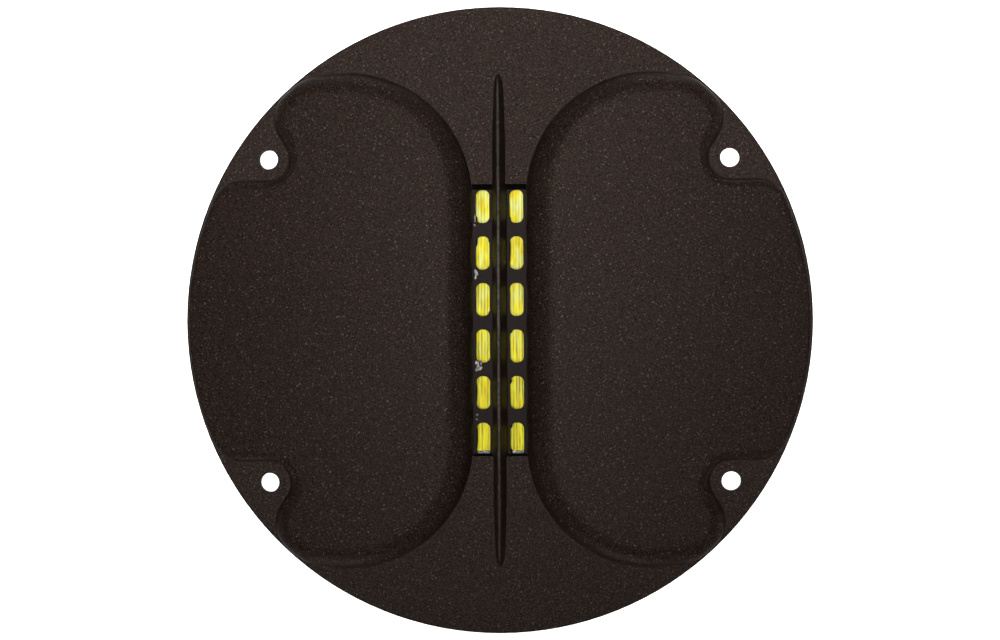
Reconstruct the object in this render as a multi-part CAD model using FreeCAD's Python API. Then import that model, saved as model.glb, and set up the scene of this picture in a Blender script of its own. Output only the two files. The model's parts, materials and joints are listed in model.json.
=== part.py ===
import FreeCAD
import Part
import math
import os

from FreeCAD import Vector

# A planar-magnetic (isodynamic) tweeter: a round cast waveguide plate with two raised
# lobes and a thin centre fin, a slotted push-pull magnet motor with an etched film
# diaphragm behind its throat, and a closed rear chamber that carries the terminals.
#
# Frame, in millimetres: +Z is the way the sound leaves, Z = 0 is the rear face of the
# mounting flange, +Y is up on the baffle, and the origin is the centre of the plate.

# ---------------------------------------------------------------- waveguide plate
PLATE_RADIUS = 52.0
FLANGE_THICKNESS = 3.0
RIM_ROUND = 0.2
RIM_CHAMFER = 0.3

HOLE_CIRCLE_RADIUS = 46.8
HOLE_ANGLE = 35.0
HOLE_RADIUS = 1.6

THROAT_HALF_WIDTH = 4.5
THROAT_HALF_LENGTH = 22.6

LOBE_HEIGHT_AT_THROAT = 5.0
LOBE_HEIGHT_AT_RIM = 1.0
LOBE_RIM_RADIUS = 51.7
LOBE_CORNER_RADIUS = 20.7
LOBE_CORNER_Y = 20.4
LOBE_CORNER_PIECES = 4
LOBE_TOP_FALL = 8.5
LOBE_CREST_RADIUS = 8.0
LOBE_SHOULDER_RADIUS = 5.5
LOBE_SHOULDER_ANGLE = 46.5
LOBE_ROOT_Z = 2.0
POCKET_RADIUS = 3.55
POCKET_LIP_RADIUS = 5.0

# How far the lobe's top edge is rolled over, from the throat round to the rim.
ROUND_AT_THROAT = 4.6
ROUND_AT_TOP = 3.2
ROUND_AT_CREST = 3.0
ROUND_AT_SHOULDER = 2.8
ROUND_AFTER_SHOULDER = 2.5
ROUND_AT_POCKET = 2.0
ROUND_AFTER_POCKET = 1.6
ROUND_AT_LIP = 1.3
ROUND_AT_RIM = 0.6

# The centre fin: (level, half-width, tip) at its root and in the valley, then its rounded ridge.
FIN_ROOT = (1.2, 1.25, 41.1)
FIN_VALLEY = (3.0, 1.08, 40.9)
FIN_RIDGE_Z = 7.6
FIN_RIDGE_TIP_Y = 39.9
FIN_RIDGE_RADIUS = 0.36
FIN_RIDGE_ANGLES = (10, 35, 60, 80)
FIN_SHOULDER_SHARE = 0.78
FIN_STRAIGHT_Y = 30.0
FIN_SHOULDER_Y = 37.4

# Pockets that lighten the casting behind each lobe, split by two ribs.
CORE_INNER_X = 18.5
CORE_OUTER_RADIUS = 38.5
CORE_TOP_Z = 3.0
CORE_RIB_Y = 11.0
CORE_RIB_HALF_WIDTH = 0.9
CORE_CORNER = 1.5

# ---------------------------------------------------------------- motor sandwich
MOTOR_SHIFT_Y = -0.45
MOTOR_HALF_X = 16.0
MOTOR_HALF_Y = 33.0
MOTOR_CORNER = 3.0
SEAT_CLEARANCE = 0.1
POLE_PLATE_GAUGE = 1.2
FRONT_SPACER_THICKNESS = 2.7
REAR_SPACER_THICKNESS = 2.1
FILM_GASKET_THICKNESS = 0.15
FILM_THICKNESS = 0.05
FOIL_THICKNESS = 0.035
FILM_EMBOSS = 0.3

SLOT_ROWS = 6
SLOT_PITCH = 7.75
SLOT_LENGTH = 5.5
SLOT_WIDTH = 2.28
SLOT_COLUMN_X = 2.81
SLOT_CORNER = 1.0

MAGNET_THICKNESS = 2.0
MAGNET_HALF_LENGTH = 22.5
CENTRE_MAGNET_HALF_WIDTH = 1.5
SIDE_MAGNET_X = (4.2, 7.3)
MAGNET_CHAMFER = 0.15

WINDOW_HALF_X = 7.6
WINDOW_HALF_Y = 28.0
WINDOW_CORNER = 3.0
SURROUND_WIDTH = 1.4
PANEL_GAP = 0.02
BORDER_HALF_X = 15.6
BORDER_HALF_Y = 32.6
BORDER_CORNER = 2.6

COIL_TURNS = 7
TRACE_PITCH = 0.5
TRACE_WIDTH = 0.38
INNER_TRACE_X = 1.4
TRACE_STRAIGHT_Y = 21.0
BRIDGE_OUTER_END_Y = 25.9
STITCH_RADIUS = 0.15
END_BEAD_HEIGHT = 0.11
END_BEAD_WIDTH = 1.2
END_BEAD_HALF_X = 5.6
LOW_BEAD_Y = 21.3
HIGH_BEAD_Y = 22.1

SCREW_X = 12.5
SCREW_Y = 27.5
SCREW_RADIUS = 1.5
SCREW_CLEARANCE = 0.15
SCREW_THREAD_CLEARANCE = 0.02
SCREW_TIP_Z = 5.0
SCREW_BORE_END_Z = 5.7
SCREW_HEAD_RADIUS = 2.8
SCREW_HEAD_HEIGHT = 1.9
SCREW_HEAD_ROUND = 0.7
RECESS_DEPTH = 1.1
RECESS_WIDTH = 0.62
RECESS_LENGTH = 2.9

# Squeezed-out adhesive along the left wall of the throat: (y, half-length, reach, height).
GLUE_SPOTS = (
    (16.4, 0.75, 0.65, 0.25),
    (7.7, 0.75, 1.1, 0.35),
    (-8.1, 0.85, 2.0, 0.4),
    (-15.8, 0.35, 1.0, 0.25),
    (-16.7, 0.3, 0.9, 0.22),
)

# ---------------------------------------------------------------- rear chamber
CHAMBER_HALF_X = 9.2
CHAMBER_HALF_Y = 29.5
CHAMBER_CORNER = 3.2
CHAMBER_WALL = 1.6
CHAMBER_FLOOR = 1.8
CHAMBER_FLANGE = 2.0
CHAMBER_BACK_Z = -24.0
CHAMBER_EDGE_ROUND = 1.4
SEAL_THICKNESS = 0.8
CLOTH_THICKNESS = 0.3
CLOTH_MARGIN = 0.3
FELT_MARGIN = 0.5
FELT_THICKNESS = 12.0
FELT_CORNER = 1.2

# ---------------------------------------------------------------- terminals
TERMINAL_X = 4.6
BOARD_HALF_X = 8.6
BOARD_GAP = 0.9
BOARD_THICKNESS = 1.5
BOARD_TOP_Z = -10.2
BOARD_BOTTOM_Z = -22.2
BOARD_CORNER = 0.8
RAIL_INNER_X = 7.1
STAKE_RADIUS = 0.5
STAKE_CLEARANCE = 0.03
STAKE_LEVELS = (-11.4, -21.0)
STAKE_HEAD_RADIUS = 0.85
STAKE_HEAD = 0.35
STRIP_HALF_WIDTH = 2.0
STRIP_THICKNESS = 0.3
STRIP_INNER_Y = 29.0
STRIP_END_Z = -14.6
STRIP_BEND = 0.6
STRIP_ROOM = 0.2
STRIP_GROOVE_DEPTH = 0.2
PAD_HALF_WIDTH = 2.1
PAD_OUTER_Y = 32.0
NOTCH_HALF_WIDTH = 3.0
NOTCH_DEPTH = 1.0
RIVET_Z = -12.7
RIVET_RADIUS = 1.2
RIVET_CLEARANCE = 0.02
RIVET_BORE = 0.7
RIVET_BORE_DEPTH = 1.6
RIVET_HEAD_RADIUS = 1.75
RIVET_HEAD = 0.5
RIVET_HEAD_ROUND = 0.35
WASHER_RADIUS = 2.3
WASHER_THICKNESS = 0.35
TAB_THICKNESS = 0.8
TAB_TOP_Z = -10.8
TAB_STEP_TOP_Z = -15.4
TAB_STEP_BOTTOM_Z = -16.6
TAB_END_Z = -23.6
TAB_STEP = 1.2
TAB_TIP_CHAMFER = 0.7
TAB_HOLE_Z = -20.4
POSITIVE_TAB_HALF_WIDTH = 2.375
NEGATIVE_TAB_HALF_WIDTH = 1.4
POSITIVE_TAB_HOLE = 0.85
NEGATIVE_TAB_HOLE = 0.6

# ---------------------------------------------------------------- mounting gasket
GASKET_OUTER_RADIUS = 51.0
GASKET_INNER_RADIUS = 41.0
GASKET_THICKNESS = 1.0
GASKET_HOLE_RADIUS = 1.9

# ---------------------------------------------------------------- levels, front to rear
SEAT_Z = POLE_PLATE_GAUGE
FRONT_PLATE_REAR_Z = SEAT_Z - POLE_PLATE_GAUGE
FRONT_SPACER_REAR_Z = FRONT_PLATE_REAR_Z - FRONT_SPACER_THICKNESS
BORDER_FRONT_Z = FRONT_SPACER_REAR_Z - FILM_GASKET_THICKNESS
BORDER_REAR_Z = BORDER_FRONT_Z - FILM_THICKNESS
PANEL_FRONT_Z = BORDER_FRONT_Z + FILM_EMBOSS
PANEL_REAR_Z = BORDER_REAR_Z + FILM_EMBOSS
REAR_SPACER_FRONT_Z = BORDER_REAR_Z - FILM_GASKET_THICKNESS
REAR_PLATE_FRONT_Z = REAR_SPACER_FRONT_Z - REAR_SPACER_THICKNESS
REAR_PLATE_REAR_Z = REAR_PLATE_FRONT_Z - POLE_PLATE_GAUGE
SEAL_REAR_Z = REAR_PLATE_REAR_Z - SEAL_THICKNESS
CHAMBER_FLANGE_REAR_Z = SEAL_REAR_Z - CHAMBER_FLANGE
CHAMBER_FLOOR_Z = CHAMBER_BACK_Z + CHAMBER_FLOOR

# Distances below the motor's centre at which the terminal parts lie, from the chamber wall outwards.
BOARD_INNER_Y = CHAMBER_HALF_Y + BOARD_GAP
BOARD_OUTER_Y = BOARD_INNER_Y + BOARD_THICKNESS
TAB_INNER_Y = BOARD_OUTER_Y + WASHER_THICKNESS
TAB_OUTER_Y = TAB_INNER_Y + TAB_THICKNESS
STRIP_OUTER_Y = TAB_OUTER_Y + STRIP_THICKNESS

PANEL_HALF_X = WINDOW_HALF_X - SURROUND_WIDTH
PANEL_HALF_Y = WINDOW_HALF_Y - SURROUND_WIDTH
PANEL_CORNER = WINDOW_CORNER - SURROUND_WIDTH

ABOVE_ALL = 12.0
PAST = 1.0
OUT = "parts"


# ================================================================ drawing helpers
def line(start, end):
    """A straight edge between two (x, y) points at Z = 0."""
    return Part.makeLine(Vector(*start, 0), Vector(*end, 0))


def arc(centre, radius, first_angle, last_angle):
    """A circular edge at Z = 0 from one angle up to a larger one, in degrees."""
    circle = Part.Circle(Vector(*centre, 0), Vector(0, 0, 1), radius)
    return circle.toShape(math.radians(first_angle), math.radians(last_angle))


def polar(centre, radius, angle):
    """The (x, y) point on a circle at an angle in degrees."""
    across = radius * math.cos(math.radians(angle))
    up = radius * math.sin(math.radians(angle))
    return (centre[0] + across, centre[1] + up)


def wire(edges):
    """One closed wire from edges in any order."""
    return Part.Wire(Part.__sortEdges__(edges))


def prism(outline, low_z, high_z):
    """The solid that an outline at Z = 0 sweeps between two levels."""
    face = Part.Face(outline)
    face.translate(Vector(0, 0, low_z))
    return face.extrude(Vector(0, 0, high_z - low_z))


def polygon(points):
    """A closed wire through (x, y) corners at Z = 0."""
    return wire([line(a, b) for a, b in zip(points, points[1:] + points[:1])])


def rounded_rectangle(half_x, half_y, corner):
    """A closed rectangle about the origin with round corners."""
    x, y = half_x - corner, half_y - corner
    edges = [
        line((half_x, -y), (half_x, y)),
        arc((x, y), corner, 0, 90),
        line((x, half_y), (-x, half_y)),
        arc((-x, y), corner, 90, 180),
        line((-half_x, y), (-half_x, -y)),
        arc((-x, -y), corner, 180, 270),
        line((-x, -half_y), (x, -half_y)),
        arc((x, -y), corner, 270, 360),
    ]
    return Part.Wire(edges)


def rounded_block(half_x, half_y, corner, low_z, high_z):
    """A plate or block about the Z axis with round vertical edges."""
    return prism(rounded_rectangle(half_x, half_y, corner), low_z, high_z)


def box(x, y, z):
    """A box from three (low, high) pairs."""
    return Part.makeBox(x[1] - x[0], y[1] - y[0], z[1] - z[0], Vector(x[0], y[0], z[0]))


def rod(x, y, low_z, high_z, radius):
    """A cylinder along Z."""
    return Part.makeCylinder(radius, high_z - low_z, Vector(x, y, low_z))


def pin_from_wall(x, z, inner_y, outer_y, radius):
    """A cylinder across the terminal side, given by how far it lies below the motor's centre."""
    return Part.makeCylinder(radius, outer_y - inner_y, Vector(x, -outer_y, z), Vector(0, 1, 0))


def cut_all(solid, tools):
    """solid with every tool removed."""
    return solid.cut(Part.makeCompound(tools))


def fused(solids):
    """One solid from several that touch or overlap."""
    return solids[0].multiFuse(solids[1:]).removeSplitter()


def edges_at_z(solid, z):
    """Edges of a solid that lie wholly in one horizontal level."""
    found = []
    for edge in solid.Edges:
        if abs(edge.BoundBox.ZMin - z) < 1e-6 and abs(edge.BoundBox.ZMax - z) < 1e-6:
            found.append(edge)
    return found


def upright_edges(solid):
    """Straight edges of a solid that run along Z."""
    found = []
    for edge in solid.Edges:
        size = edge.BoundBox
        if size.XLength < 1e-6 and size.YLength < 1e-6:
            found.append(edge)
    return found


def at_motor(shape):
    """Moves a shape drawn about the motor's own centre to where the motor sits."""
    return shape.translated(Vector(0, MOTOR_SHIFT_Y, 0))


def save(name, shape):
    """Writes one named piece, as one solid or as a group of separate solids."""
    solids = shape.Solids
    result = solids[0] if len(solids) == 1 else Part.makeCompound(solids)
    result.exportStep(os.path.join(OUT, name + ".step"))


def mirrored_x(shape):
    """shape mirrored to the other side of the Y axis."""
    return shape.mirror(Vector(), Vector(1, 0, 0))


def mirrored_y(shape):
    """shape mirrored to the other side of the X axis."""
    return shape.mirror(Vector(), Vector(0, 1, 0))


# ================================================================ shared positions
def flange_holes():
    """Centres of the four mounting holes."""
    x, y = polar((0, 0), HOLE_CIRCLE_RADIUS, HOLE_ANGLE)
    return [(x, y), (-x, y), (-x, -y), (x, -y)]


def screw_places():
    """Centres of the six motor screws, about the motor's centre."""
    return [(side * SCREW_X, row * SCREW_Y) for side in (-1, 1) for row in (-1, 0, 1)]


def screw_holes(low_z, high_z):
    """The clearance holes that the motor screws pass through."""
    radius = SCREW_RADIUS + SCREW_CLEARANCE
    return [rod(x, y, low_z, high_z, radius) for x, y in screw_places()]


def slot_cutters(low_z, high_z):
    """The two columns of round-cornered sound slots, about the motor's centre."""
    slot = rounded_block(SLOT_WIDTH / 2, SLOT_LENGTH / 2, SLOT_CORNER, low_z, high_z)
    first = -(SLOT_ROWS - 1) / 2 * SLOT_PITCH
    places = [
        Vector(side * SLOT_COLUMN_X, first + row * SLOT_PITCH, 0)
        for side in (-1, 1)
        for row in range(SLOT_ROWS)
    ]
    return [slot.translated(place) for place in places]


def strip_notches(low_z, high_z):
    """Room for the two contact strips in the lower edge of a motor plate."""
    notches = []
    for side in (-1, 1):
        across = (side * TERMINAL_X - NOTCH_HALF_WIDTH, side * TERMINAL_X + NOTCH_HALF_WIDTH)
        notches.append(box(across, (-MOTOR_HALF_Y - PAST, -MOTOR_HALF_Y + NOTCH_DEPTH), (low_z, high_z)))
    return notches


def strip_bed(low_z, high_z):
    """Room for the flat inner ends of both contact strips, from the window out past the edge."""
    half = TERMINAL_X + STRIP_HALF_WIDTH + STRIP_ROOM
    return box((-half, half), (-MOTOR_HALF_Y - PAST, -WINDOW_HALF_Y), (low_z, high_z))


def motor_plate(low_z, high_z, openings):
    """A plate with the motor's outline and screw holes, and its own further openings."""
    plate = rounded_block(MOTOR_HALF_X, MOTOR_HALF_Y, MOTOR_CORNER, low_z, high_z)
    return cut_all(plate, screw_holes(low_z - PAST, high_z + PAST) + openings)


def window(low_z, high_z):
    """The long opening that the film moves in."""
    return rounded_block(WINDOW_HALF_X, WINDOW_HALF_Y, WINDOW_CORNER, low_z, high_z)


# ================================================================ waveguide plate
def crown_fall():
    """How fast the lobes' tops fall with the square of the distance from the centre line."""
    drop = LOBE_HEIGHT_AT_THROAT - LOBE_HEIGHT_AT_RIM
    return drop / (LOBE_RIM_RADIUS**2 - THROAT_HALF_WIDTH**2)


def crown():
    """A cylinder along Y whose top is the shallow curve that both lobes follow."""
    radius = 1 / (2 * crown_fall())
    summit = FLANGE_THICKNESS + LOBE_HEIGHT_AT_THROAT + crown_fall() * THROAT_HALF_WIDTH**2
    start = Vector(0, -1.5 * PLATE_RADIUS, summit - radius)
    return Part.makeCylinder(radius, 3 * PLATE_RADIUS, start, Vector(0, 1, 0))


def crest_centre():
    """Centre of the lobe's crest arc, tangent to the top edge and to the rim circle."""
    fall = math.radians(LOBE_TOP_FALL)
    normal = (math.sin(fall), math.cos(fall))
    along = (math.cos(fall), -math.sin(fall))
    reach = LOBE_CORNER_RADIUS - LOBE_CREST_RADIUS
    start_x = THROAT_HALF_WIDTH + LOBE_CORNER_RADIUS + reach * normal[0]
    start_y = LOBE_CORNER_Y + reach * normal[1]
    dot = start_x * along[0] + start_y * along[1]
    target = LOBE_RIM_RADIUS - LOBE_CREST_RADIUS
    distance = -dot + math.sqrt(dot**2 - start_x**2 - start_y**2 + target**2)
    return (start_x + distance * along[0], start_y + distance * along[1])


def lobe_upper_chain():
    """The tangent chain round the right lobe's upper end: its edges, and (point, round) at each joint."""
    hole = flange_holes()[0]
    corner = (THROAT_HALF_WIDTH + LOBE_CORNER_RADIUS, LOBE_CORNER_Y)
    crest = crest_centre()
    crest_angle = math.degrees(math.atan2(crest[1], crest[0]))
    shoulder = polar((0, 0), LOBE_RIM_RADIUS - LOBE_SHOULDER_RADIUS, LOBE_SHOULDER_ANGLE)
    top_angle = 90 - LOBE_TOP_FALL
    gap = (hole[0] - shoulder[0], hole[1] - shoulder[1])
    spread = (LOBE_SHOULDER_RADIUS + POCKET_RADIUS) / math.hypot(*gap)
    leave = math.degrees(math.atan2(gap[1], gap[0]) + math.acos(spread))
    lip_y = hole[1] - POCKET_RADIUS - POCKET_LIP_RADIUS
    lip = (math.sqrt((LOBE_RIM_RADIUS - POCKET_LIP_RADIUS) ** 2 - lip_y**2), lip_y)
    lip_angle = math.degrees(math.atan2(lip[1], lip[0]))

    edges = []
    rounds = []
    step = (180 - top_angle) / LOBE_CORNER_PIECES
    for piece in range(LOBE_CORNER_PIECES):
        start = 180 - piece * step
        edges.append(arc(corner, LOBE_CORNER_RADIUS, start - step, start))
        share = piece / LOBE_CORNER_PIECES
        size = ROUND_AT_THROAT + share * (ROUND_AT_TOP - ROUND_AT_THROAT)
        rounds.append((polar(corner, LOBE_CORNER_RADIUS, start), size))

    joints = [
        (polar(corner, LOBE_CORNER_RADIUS, top_angle), ROUND_AT_TOP),
        (polar(crest, LOBE_CREST_RADIUS, top_angle), ROUND_AT_CREST),
        (polar(crest, LOBE_CREST_RADIUS, crest_angle), ROUND_AT_SHOULDER),
        (polar(shoulder, LOBE_SHOULDER_RADIUS, LOBE_SHOULDER_ANGLE), ROUND_AT_SHOULDER),
        (polar(shoulder, LOBE_SHOULDER_RADIUS, leave), ROUND_AFTER_SHOULDER),
        (polar(hole, POCKET_RADIUS, leave + 180), ROUND_AT_POCKET),
        (polar(hole, POCKET_RADIUS, 270), ROUND_AFTER_POCKET),
        (polar(lip, POCKET_LIP_RADIUS, 90), ROUND_AT_LIP),
        (polar(lip, POCKET_LIP_RADIUS, lip_angle), ROUND_AT_RIM),
    ]
    edges.append(line(joints[0][0], joints[1][0]))
    edges.append(arc(crest, LOBE_CREST_RADIUS, crest_angle, top_angle))
    edges.append(arc((0, 0), LOBE_RIM_RADIUS, LOBE_SHOULDER_ANGLE, crest_angle))
    edges.append(arc(shoulder, LOBE_SHOULDER_RADIUS, leave, LOBE_SHOULDER_ANGLE))
    edges.append(line(joints[4][0], joints[5][0]))
    edges.append(arc(hole, POCKET_RADIUS, leave + 180, 270))
    edges.append(line(joints[6][0], joints[7][0]))
    edges.append(arc(lip, POCKET_LIP_RADIUS, lip_angle, 90))
    return edges, rounds + joints, lip_angle


def lobe_outline():
    """The closed outline of the right-hand lobe."""
    upper, _, rim_angle = lobe_upper_chain()
    lower = [mirrored_y(edge) for edge in upper]
    inner = line((THROAT_HALF_WIDTH, -LOBE_CORNER_Y), (THROAT_HALF_WIDTH, LOBE_CORNER_Y))
    rim = arc((0, 0), LOBE_RIM_RADIUS, -rim_angle, rim_angle)
    return wire(upper + lower + [inner, rim])


def round_at(vertex, stations):
    """The edge round wanted at a vertex: that of the nearest station, in either half."""
    here = (vertex.Point.x, abs(vertex.Point.y))
    nearest = min(stations, key=lambda station: math.dist(station[0], here))
    return nearest[1]


def right_lobe():
    """The right-hand lobe, its top crowned and its top edge rolled over by a changing amount."""
    body = prism(lobe_outline(), LOBE_ROOT_Z, ABOVE_ALL).common(crown()).Solids[0]
    stations = lobe_upper_chain()[1]
    top = [edge for edge in body.Edges if edge.BoundBox.ZMin > FLANGE_THICKNESS]
    chain = Part.sortEdges(top)[0]

    document = FreeCAD.newDocument("lobe")
    blank = document.addObject("Part::Feature", "blank")
    blank.Shape = body
    rolled = document.addObject("Part::Fillet", "rolled")
    rolled.Base = blank
    middles = [edge.CenterOfMass for edge in blank.Shape.Edges]
    sizes = []
    for edge in chain:
        apart = [edge.CenterOfMass.distanceToPoint(middle) for middle in middles]
        first = round_at(edge.firstVertex(True), stations)
        last = round_at(edge.lastVertex(True), stations)
        sizes.append((apart.index(min(apart)) + 1, first, last))
    rolled.Edges = sizes
    document.recompute()
    shape = rolled.Shape.copy()
    FreeCAD.closeDocument(document.Name)
    return shape


def throat():
    """The opening between the lobes, which follows their outline to its two square ends."""
    corner_x = THROAT_HALF_WIDTH + LOBE_CORNER_RADIUS
    rise = THROAT_HALF_LENGTH - LOBE_CORNER_Y
    end_angle = 180 - math.degrees(math.asin(rise / LOBE_CORNER_RADIUS))
    end = polar((corner_x, LOBE_CORNER_Y), LOBE_CORNER_RADIUS, end_angle)
    curve = arc((corner_x, LOBE_CORNER_Y), LOBE_CORNER_RADIUS, end_angle, 180)
    side = line((THROAT_HALF_WIDTH, -LOBE_CORNER_Y), (THROAT_HALF_WIDTH, LOBE_CORNER_Y))
    right = [side, curve, mirrored_y(curve)]
    ends = [line((-end[0], y), (end[0], y)) for y in (end[1], -end[1])]
    outline = wire(right + [mirrored_x(edge) for edge in right] + ends)
    return prism(outline, SEAT_Z, ABOVE_ALL)


def fin_outline(z, half_width, tip):
    """One level of the centre fin: straight sides, a slight taper and elliptical tips."""
    shoulder = half_width * FIN_SHOULDER_SHARE
    quarter = [
        Part.makeLine(Vector(half_width, 0, z), Vector(half_width, FIN_STRAIGHT_Y, z)),
        Part.makeLine(Vector(half_width, FIN_STRAIGHT_Y, z), Vector(shoulder, FIN_SHOULDER_Y, z)),
    ]
    centre = Vector(0, FIN_SHOULDER_Y, z)
    ellipse = Part.Ellipse(Vector(0, tip, z), Vector(-shoulder, FIN_SHOULDER_Y, z), centre)
    quarter.append(ellipse.toShape(1.5 * math.pi, 2 * math.pi))
    half = quarter + [mirrored_y(edge) for edge in quarter]
    return wire(half + [mirrored_x(edge) for edge in half])


def centre_fin():
    """The thin splitter that stands along the middle of the throat, with a rounded ridge."""
    ridge = []
    for angle in FIN_RIDGE_ANGLES:
        half_width, rise = polar((0, FIN_RIDGE_Z - FIN_RIDGE_RADIUS), FIN_RIDGE_RADIUS, angle)
        inset = FIN_RIDGE_RADIUS - half_width
        ridge.append(fin_outline(rise, half_width, FIN_RIDGE_TIP_Y - inset))
    sides = Part.makeLoft([fin_outline(*FIN_ROOT), fin_outline(*FIN_VALLEY), ridge[0]], True, False)
    return sides.fuse(Part.makeLoft(ridge, True, True))


def rear_cores():
    """Pockets in the back of the casting under the right-hand lobe."""
    half_y = math.sqrt(CORE_OUTER_RADIUS**2 - CORE_INNER_X**2)
    inner = CORE_RIB_Y - CORE_RIB_HALF_WIDTH
    outer = CORE_RIB_Y + CORE_RIB_HALF_WIDTH
    disc = rod(0, 0, -PAST, CORE_TOP_Z, CORE_OUTER_RADIUS)
    cores = []
    for low, high in ((-half_y, -outer), (-inner, inner), (outer, half_y)):
        core = box((CORE_INNER_X, CORE_OUTER_RADIUS), (low, high), (-PAST, CORE_TOP_Z)).common(disc)
        cores.append(core.makeFillet(CORE_CORNER, upright_edges(core)))
    return cores


def waveguide_plate():
    """The cast front plate: round flange, two lobes and the centre fin in one piece."""
    flange = Part.makeCylinder(PLATE_RADIUS, FLANGE_THICKNESS)
    flange = flange.makeFillet(RIM_ROUND, edges_at_z(flange, FLANGE_THICKNESS))
    flange = flange.makeChamfer(RIM_CHAMFER, edges_at_z(flange, 0))
    lobe = right_lobe()
    casting = flange.multiFuse([lobe, mirrored_x(lobe)])
    casting = casting.cut(throat())
    casting = casting.fuse(centre_fin())

    seat_x = MOTOR_HALF_X + SEAT_CLEARANCE
    seat_y = MOTOR_HALF_Y + SEAT_CLEARANCE
    seat = at_motor(rounded_block(seat_x, seat_y, MOTOR_CORNER + SEAT_CLEARANCE, -PAST, SEAT_Z))
    bore = SCREW_RADIUS + SCREW_THREAD_CLEARANCE
    bores = [at_motor(rod(x, y, -PAST, SCREW_BORE_END_Z, bore)) for x, y in screw_places()]
    holes = [rod(x, y, -PAST, ABOVE_ALL, HOLE_RADIUS) for x, y in flange_holes()]
    cores = rear_cores()
    cores += [mirrored_x(core) for core in cores]
    return cut_all(casting, [seat] + bores + holes + cores)


def glue_squeeze_out():
    """Small beads of adhesive that stand on the pole plate along the throat's left wall."""
    beads = []
    for y, half_length, reach, height in GLUE_SPOTS:
        ball = Part.makeSphere(1.0)
        stretch = FreeCAD.Matrix()
        stretch.scale(Vector(reach, half_length, height))
        bead = ball.transformGeometry(stretch)
        bead.translate(Vector(-THROAT_HALF_WIDTH, y, SEAT_Z))
        room = box((-THROAT_HALF_WIDTH, 0), (y - PAST, y + PAST), (SEAT_Z, SEAT_Z + PAST))
        beads.append(bead.common(room))
    return Part.makeCompound(beads)


def mounting_gasket():
    """The foam ring between the flange and the baffle."""
    ring = rod(0, 0, -GASKET_THICKNESS, 0, GASKET_OUTER_RADIUS)
    holes = [rod(x, y, -2 * PAST, PAST, GASKET_HOLE_RADIUS) for x, y in flange_holes()]
    return cut_all(ring, holes + [rod(0, 0, -2 * PAST, PAST, GASKET_INNER_RADIUS)])


# ================================================================ motor plates, magnets and spacers
def front_pole_plate():
    """The slotted steel plate in front of the film, seated in the back of the casting."""
    return motor_plate(FRONT_PLATE_REAR_Z, SEAT_Z, slot_cutters(-PAST, SEAT_Z + PAST))


def rear_pole_plate():
    """The slotted steel plate behind the film, notched where the contact strips pass."""
    low, high = REAR_PLATE_REAR_Z, REAR_PLATE_FRONT_Z
    openings = slot_cutters(low - PAST, high + PAST) + strip_notches(low - PAST, high + PAST)
    return motor_plate(low, high, openings)


def magnet(low_x, high_x, low_z):
    """One bar magnet with lightly broken edges."""
    long_way = (-MAGNET_HALF_LENGTH, MAGNET_HALF_LENGTH)
    bar = box((low_x, high_x), long_way, (low_z, low_z + MAGNET_THICKNESS))
    return bar.makeChamfer(MAGNET_CHAMFER, bar.Edges)


def magnet_row(side, low_z):
    """The three bars on one pole plate, by name."""
    near, far = SIDE_MAGNET_X
    return {
        side + "_magnet_left": magnet(-far, -near, low_z),
        side + "_magnet_centre": magnet(-CENTRE_MAGNET_HALF_WIDTH, CENTRE_MAGNET_HALF_WIDTH, low_z),
        side + "_magnet_right": magnet(near, far, low_z),
    }


def front_spacer():
    """The frame that holds the film clear of the front magnets."""
    low, high = FRONT_SPACER_REAR_Z, FRONT_PLATE_REAR_Z
    return motor_plate(low, high, [window(low - PAST, high + PAST)])


def rear_spacer():
    """The frame behind the film, grooved and notched for the contact strips."""
    low, high = REAR_PLATE_FRONT_Z, REAR_SPACER_FRONT_Z
    openings = [window(low - PAST, high + PAST)]
    openings += strip_notches(low - PAST, high + PAST)
    openings.append(strip_bed(high - STRIP_GROOVE_DEPTH, high + PAST))
    return motor_plate(low, high, openings)


def motor_screws():
    """Six pan-head screws that clamp the whole motor and chamber to the casting."""
    screws = []
    for x, y in screw_places():
        under_head = CHAMBER_FLANGE_REAR_Z
        head = rod(x, y, under_head - SCREW_HEAD_HEIGHT, under_head, SCREW_HEAD_RADIUS)
        head = head.makeFillet(SCREW_HEAD_ROUND, edges_at_z(head, under_head - SCREW_HEAD_HEIGHT))
        shank = rod(x, y, under_head - PAST, SCREW_TIP_Z, SCREW_RADIUS)
        shank = shank.makeChamfer(SCREW_RADIUS / 4, edges_at_z(shank, SCREW_TIP_Z))
        top = under_head - SCREW_HEAD_HEIGHT
        half_width, half_length = RECESS_WIDTH / 2, RECESS_LENGTH / 2
        depth = (top - PAST, top + RECESS_DEPTH)
        across = box((x - half_length, x + half_length), (y - half_width, y + half_width), depth)
        along = box((x - half_width, x + half_width), (y - half_length, y + half_length), depth)
        screws.append(fused([head, shank]).cut(fused([across, along])))
    return Part.makeCompound(screws)


# ================================================================ film
def film_sheet(half_x, half_y, corner, low_z, high_z, openings):
    """A flat ring or sheet of the film or of its gaskets."""
    return cut_all(rounded_block(half_x, half_y, corner, low_z, high_z), openings)


def film_border():
    """The clamped edge of the film."""
    low, high = BORDER_REAR_Z, BORDER_FRONT_Z
    openings = screw_holes(low - PAST, high + PAST) + [window(low - PAST, high + PAST)]
    return film_sheet(BORDER_HALF_X, BORDER_HALF_Y, BORDER_CORNER, low, high, openings)


def film_gasket(low, high, beds):
    """A fibre gasket on one side of the film's clamped edge."""
    openings = screw_holes(low - PAST, high + PAST) + [window(low - PAST, high + PAST)] + beds
    return film_sheet(BORDER_HALF_X, BORDER_HALF_Y, BORDER_CORNER, low, high, openings)


def outline_at(half_x, half_y, corner, z):
    """A rounded rectangle at a level."""
    return rounded_rectangle(half_x, half_y, corner).translated(Vector(0, 0, z))


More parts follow.
